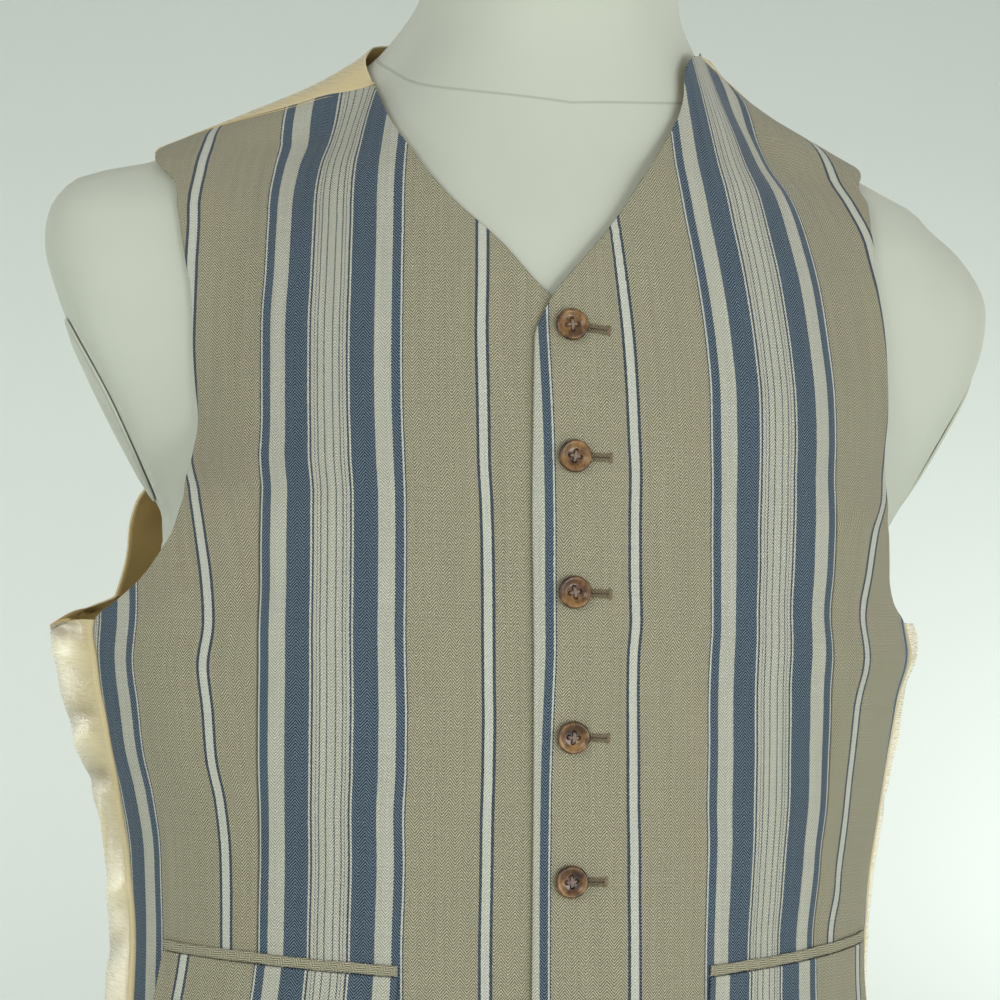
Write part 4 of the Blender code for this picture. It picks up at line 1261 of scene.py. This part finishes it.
def make_button(number):
    """The turned face on a fine polar grid, closed over the back."""
    spot, right, up, facing = button_frame(number)
    step = np.concatenate([np.linspace(0, 2, 30), np.linspace(2, 11, 40)[1:]])
    radius = curve(BUTTON_PROFILE["step"], BUTTON_PROFILE["radius"], step)[:, None] * BUTTON_WIDTH / 2
    height = curve(BUTTON_PROFILE["step"], BUTTON_PROFILE["height"], step)[:, None]
    turn = np.linspace(0, 2 * np.pi, 84, endpoint=False)[None, :]
    x, y = radius * np.cos(turn), radius * np.sin(turn)
    top = step[:, None] < 4
    height = np.where(top, button_height(radius, x, y, height), height + 0 * x)
    grid = spot + x[..., None] * right + y[..., None] * up + height[..., None] * facing
    notes = np.stack([radius / BUTTON_WIDTH * 2 + 0 * x, x, y], -1)
    return capped_mesh("button_face_%d" % (number + 1), grid, [horn], {"weave": notes}, turned=True)


for number in range(len(BUTTONS["angle"])):
    dress(make_button(number), "horn", "button_%d" % (number + 1))
print("buttons:", len(BUTTONS["angle"]))

# %% [markdown]
# ## Thread
#
# The buttons are sewn on with a cross of thread, and each buttonhole is worked: two rows of purl stitches
# with a bar at the outer end. The stitches are real relief, a tube whose radius swells once a stitch, since
# a flat drawing of them would not catch the light from the side.

# %% Sewing thread and worked buttonholes
ROSE_THREAD, ROSE_SHADE = tone(158, 136, 124), tone(112, 90, 80)
HOLE_THREAD, HOLE_SHADE = tone(142, 126, 96), tone(78, 64, 44)
THREAD_RADIUS, STITCH = 0.27, 0.66
HOLE_START, HOLE_END, STITCH_TALL, SLIT_HALF, BAR_REACH = 5.6, 14.4, 1.75, 0.24, 2.3
HOLE_TILT = {0: -5.0}


def make_thread(name, light, deep, roughness):
    """Twisted thread: fine slanting ply lines on the piece's own place."""
    finish = Finish(name, roughness, Sheen_Weight=0.2)
    x, y, z = finish.object_place()
    ply = finish.math("SINE", (x + z) * 9000.0)
    flecks = finish.noise(finish.place(x, y, z), 1600.0, 2.0)
    finish.feed("Base Color", finish.mix(0.35 + ply * 0.25 + (flecks - 0.5) * 0.6, light, deep))
    finish.bump(ply * 0.5 + flecks, 0.5, 0.06)
    return finish.material


rose = make_thread("button thread", ROSE_THREAD, ROSE_SHADE, 0.6)
hole_thread = make_thread("buttonhole thread", HOLE_THREAD, HOLE_SHADE, 0.7)
# Painted shadow: a dark finish for the flat tube that stands for the shade inside each buttonhole's cut.
slit_painted_shadow = make_thread("slit", tone(60, 48, 32), tone(34, 28, 20), 0.9)


def make_cross(number):
    """Two crossing pairs of strands, each an arch from one hole to the opposite one."""
    spot, right, up, facing = button_frame(number)
    t = np.linspace(-1, 1, 25)
    tubes = []
    for k, (sx, sy) in enumerate(((1, 0), (0, 1))):
        for side in (-1, 1):
            x = t * HOLE_OUT * sx + side * 0.27 * sy
            y = t * HOLE_OUT * sy + side * 0.27 * sx
            height = 1.9 + 0.45 * k + 0.35 * (1 - t ** 2) - 1.4 * np.abs(t) ** 9
            path = spot + x[:, None] * right + y[:, None] * up + height[:, None] * facing
            tubes.append(tube(path, THREAD_RADIUS))
    return join_tubes("button_cross_%d" % (number + 1), tubes, [rose])


def on_lap(number, x, y, out):
    """Point on the lap from a distance across and up from a button's middle."""
    angle, z = np.radians(BUTTONS["angle"][number]), BUTTONS["height"][number]
    tilt = np.radians(HOLE_TILT.get(number, 0.0))
    across_lap, up = x * np.cos(tilt) - y * np.sin(tilt), x * np.sin(tilt) + y * np.cos(tilt)
    reach = np.linalg.norm(cloth_point(angle, z)[:2])
    return front_point("left", angle + across_lap / reach, z + up, out)


def make_buttonhole(number):
    """Two rows of short upright stitches with a knot at the slit, and a bar of three longer ones."""
    tubes, share = [], np.linspace(0, 1, 6)
    swell = 0.17 + 0.11 * (1 - share) ** 3
    arch = 0.1 + 0.2 * np.sin(share * np.pi) ** 0.6
    places = np.arange(HOLE_START, HOLE_END, STITCH)
    for k, x in enumerate(places):
        for side in (-1, 1):
            tall = STITCH_TALL * (1 + 0.07 * np.sin(k * 1.9 + 2 * side + number))
            lean = 0.1 * np.sin(k * 2.7 + side + number)
            y = side * (SLIT_HALF + share * tall)
            tubes.append(tube(on_lap(number, x + lean * share, y, arch), swell, 6))
    for k in range(3):
        y = BAR_REACH * (2 * share - 1) * (1 - 0.05 * k)
        x = np.full(y.shape, HOLE_END + 0.2 + 0.38 * k)
        tubes.append(tube(on_lap(number, x, y, arch + 0.06), 0.22, 6))
    return join_tubes("buttonhole_%d" % (number + 1), tubes, [hole_thread])


def make_slit_shadow(number):
    """Painted shadow in the cut between the two rows: one flat dark tube."""
    x = np.linspace(HOLE_START, HOLE_END, 24)
    cut = tube(on_lap(number, x, 0 * x, 0 * x + 0.02), 0.2, 6)
    return join_tubes("buttonhole_slit_%d" % (number + 1), [cut], [slit_painted_shadow])


for number in range(len(BUTTONS["angle"])):
    dress(make_cross(number), "horn")
    dress(make_buttonhole(number), "striped_cloth")
    dress(make_slit_shadow(number), "striped_cloth")
print("crosses and buttonholes:", 2 * len(BUTTONS["angle"]))

# %% [markdown]
# ## What each cloth piece was cut from
#
# A sheet of cloth has a real flat size. The area of each piece's outer face is measured here from the
# finished grid and printed beside the area of the rectangle it would be cut from, whose width and length are
# listed.


# %% Measuring the sheets
def face_area(thing):
    """Area in square metres of the outer face."""
    mesh = thing.data
    points = np.empty(len(mesh.vertices) * 3)
    mesh.vertices.foreach_get("co", points)
    corners = np.empty(len(mesh.polygons) * 4, int)
    mesh.polygons.foreach_get("vertices", corners)
    p = points.reshape(-1, 3)[corners.reshape(-1, 4)]
    return float(np.linalg.norm(np.cross(p[:, 2] - p[:, 0], p[:, 3] - p[:, 1]), axis=1).sum() / 2)


CUTS = {
    "front_left_cloth": (0.300, 0.620), "front_right_cloth": (0.300, 0.600),
    "back_left_cloth": (0.285, 0.580), "back_right_cloth": (0.320, 0.580),
    "flap_left": (0.155, 0.048), "flap_right": (0.155, 0.048),
    "jet_left": (0.150, 0.007), "jet_right": (0.150, 0.007),
}
for name, size in CUTS.items():
    thing = bpy.data.objects[name]
    area = face_area(thing)
    print(name, "area", round(area, 4), "of", round(size[0] * size[1], 4))

# %% [markdown]
# ## Floor, light and camera
#
# The object stands on a pale floor that curves up into a wall, with painted shade that darkens the wall
# towards the top. It is lit by large soft lights, so the shadows are faint. The camera is level with the
# chest, a little to the wearer's right, with a long lens.

# %% The floor
# The second colour is painted shade for the upper wall.
FLOOR, WALL_PAINTED_SHADE = tone(228, 236, 229), tone(204, 211, 204)
BAY_DEPTH, BAY_WIDTH, BAY_HEIGHT, BAY_BEND, PAINTED_SHADE_TOP, WALL_AIM = 4.6, 5.0, 4.4, 2.8, 1.5, 3.4


def make_floor():
    """A strip that runs back, turns up through a quarter circle and goes on as the wall, painted darker with
    height as painted shade.
    """
    bend = np.radians(np.arange(0, 91, 6))
    y = np.concatenate([[-4.6, -1, 0.6], BAY_DEPTH - BAY_BEND + BAY_BEND * np.sin(bend), [BAY_DEPTH] * 2])
    z = np.concatenate([[0, 0, 0], BAY_BEND * (1 - np.cos(bend)), [3.6, BAY_HEIGHT]])
    x = np.linspace(-BAY_WIDTH, BAY_WIDTH, 9)
    grid = np.stack(np.broadcast_arrays(x[None, :], y[:, None], z[:, None]), -1) / MM
    finish = Finish("studio floor", 0.9)
    px, py, pz = finish.object_place()
    cloud = finish.noise(finish.place(px, py, pz), 1.5, 2.0)
    # Painted shade: the colour darkens from the floor up to a height on the wall, as the lamps' light falls
    # off.
    share = finish.between(pz, 0.0, PAINTED_SHADE_TOP) + (cloud - 0.5) * 0.1
    finish.feed("Base Color", finish.mix(share, FLOOR, WALL_PAINTED_SHADE))
    return put_mesh("studio_floor", grid, grid_quads(*grid.shape[:2]), [finish.material])


make_floor()

# %% The lights and the world
LIGHTS = table("x y z aim_z width power", [
    (-1.5, -1.7, 1.3, 0.45, 1.1, 14), (1.7, -1.6, 0.4, 0.3, 1.2, 11), (0.2, 0.5, 2.4, 0.5, 1.6, 3),
    (0.7, -2.2, 0.05, 0.2, 0.9, 25), (-1.9, 1.6, 0.3, 0.3, 1.0, 40), (2.1, 1.6, 0.8, 0.9, 1.0, 34),
    (-2.2, -0.5, 0.2, 0.35, 0.5, 3),
])
world = bpy.data.worlds.new("studio air")
bpy.context.scene.world = world
world.use_nodes = True
world.node_tree.nodes["Background"].inputs["Color"].default_value = tone(222, 225, 221)
world.node_tree.nodes["Background"].inputs["Strength"].default_value = 0.58
bpy.context.scene.view_settings.view_transform = "Standard"
for number, (x, y, z, aim, width, power) in enumerate(zip(*LIGHTS.values())):
    lamp = bpy.data.lights.new("soft light %d" % (number + 1), "AREA")
    lamp.shape = "DISK"
    lamp.size, lamp.energy = width, power
    holder = bpy.data.objects.new(lamp.name, lamp)
    holder.location = (x, y, z)
    facing = Vector((0, WALL_AIM if y > 1 else 0, aim)) - holder.location
    holder.rotation_euler = facing.to_track_quat("-Z", "Y").to_euler()
    holder.visible_camera = False
    bpy.context.scene.collection.objects.link(holder)

# %% The camera
AZIMUTH, ROLL_DEGREES, TARGET_Z, REACH, LENS, SIDE_SHIFT = -9.5, 2.7, 0.505, 1.6, 126.72, -0.023
camera_data = bpy.data.cameras.new("photo view")
camera_data.sensor_width, camera_data.lens, camera_data.shift_x = 36.0, LENS, SIDE_SHIFT
camera = bpy.data.objects.new("photo view", camera_data)
away = Vector((np.sin(np.radians(AZIMUTH)), -np.cos(np.radians(AZIMUTH)), 0))
camera.location = Vector((0, 0, TARGET_Z)) + away * REACH
camera.rotation_mode = "QUATERNION"
camera.rotation_quaternion = away.to_track_quat("Z", "Y") @ Quaternion((0, 0, 1), np.radians(ROLL_DEGREES))
bpy.context.scene.collection.objects.link(camera)
bpy.context.scene.camera = camera
print("camera at", [round(v, 3) for v in camera.location])
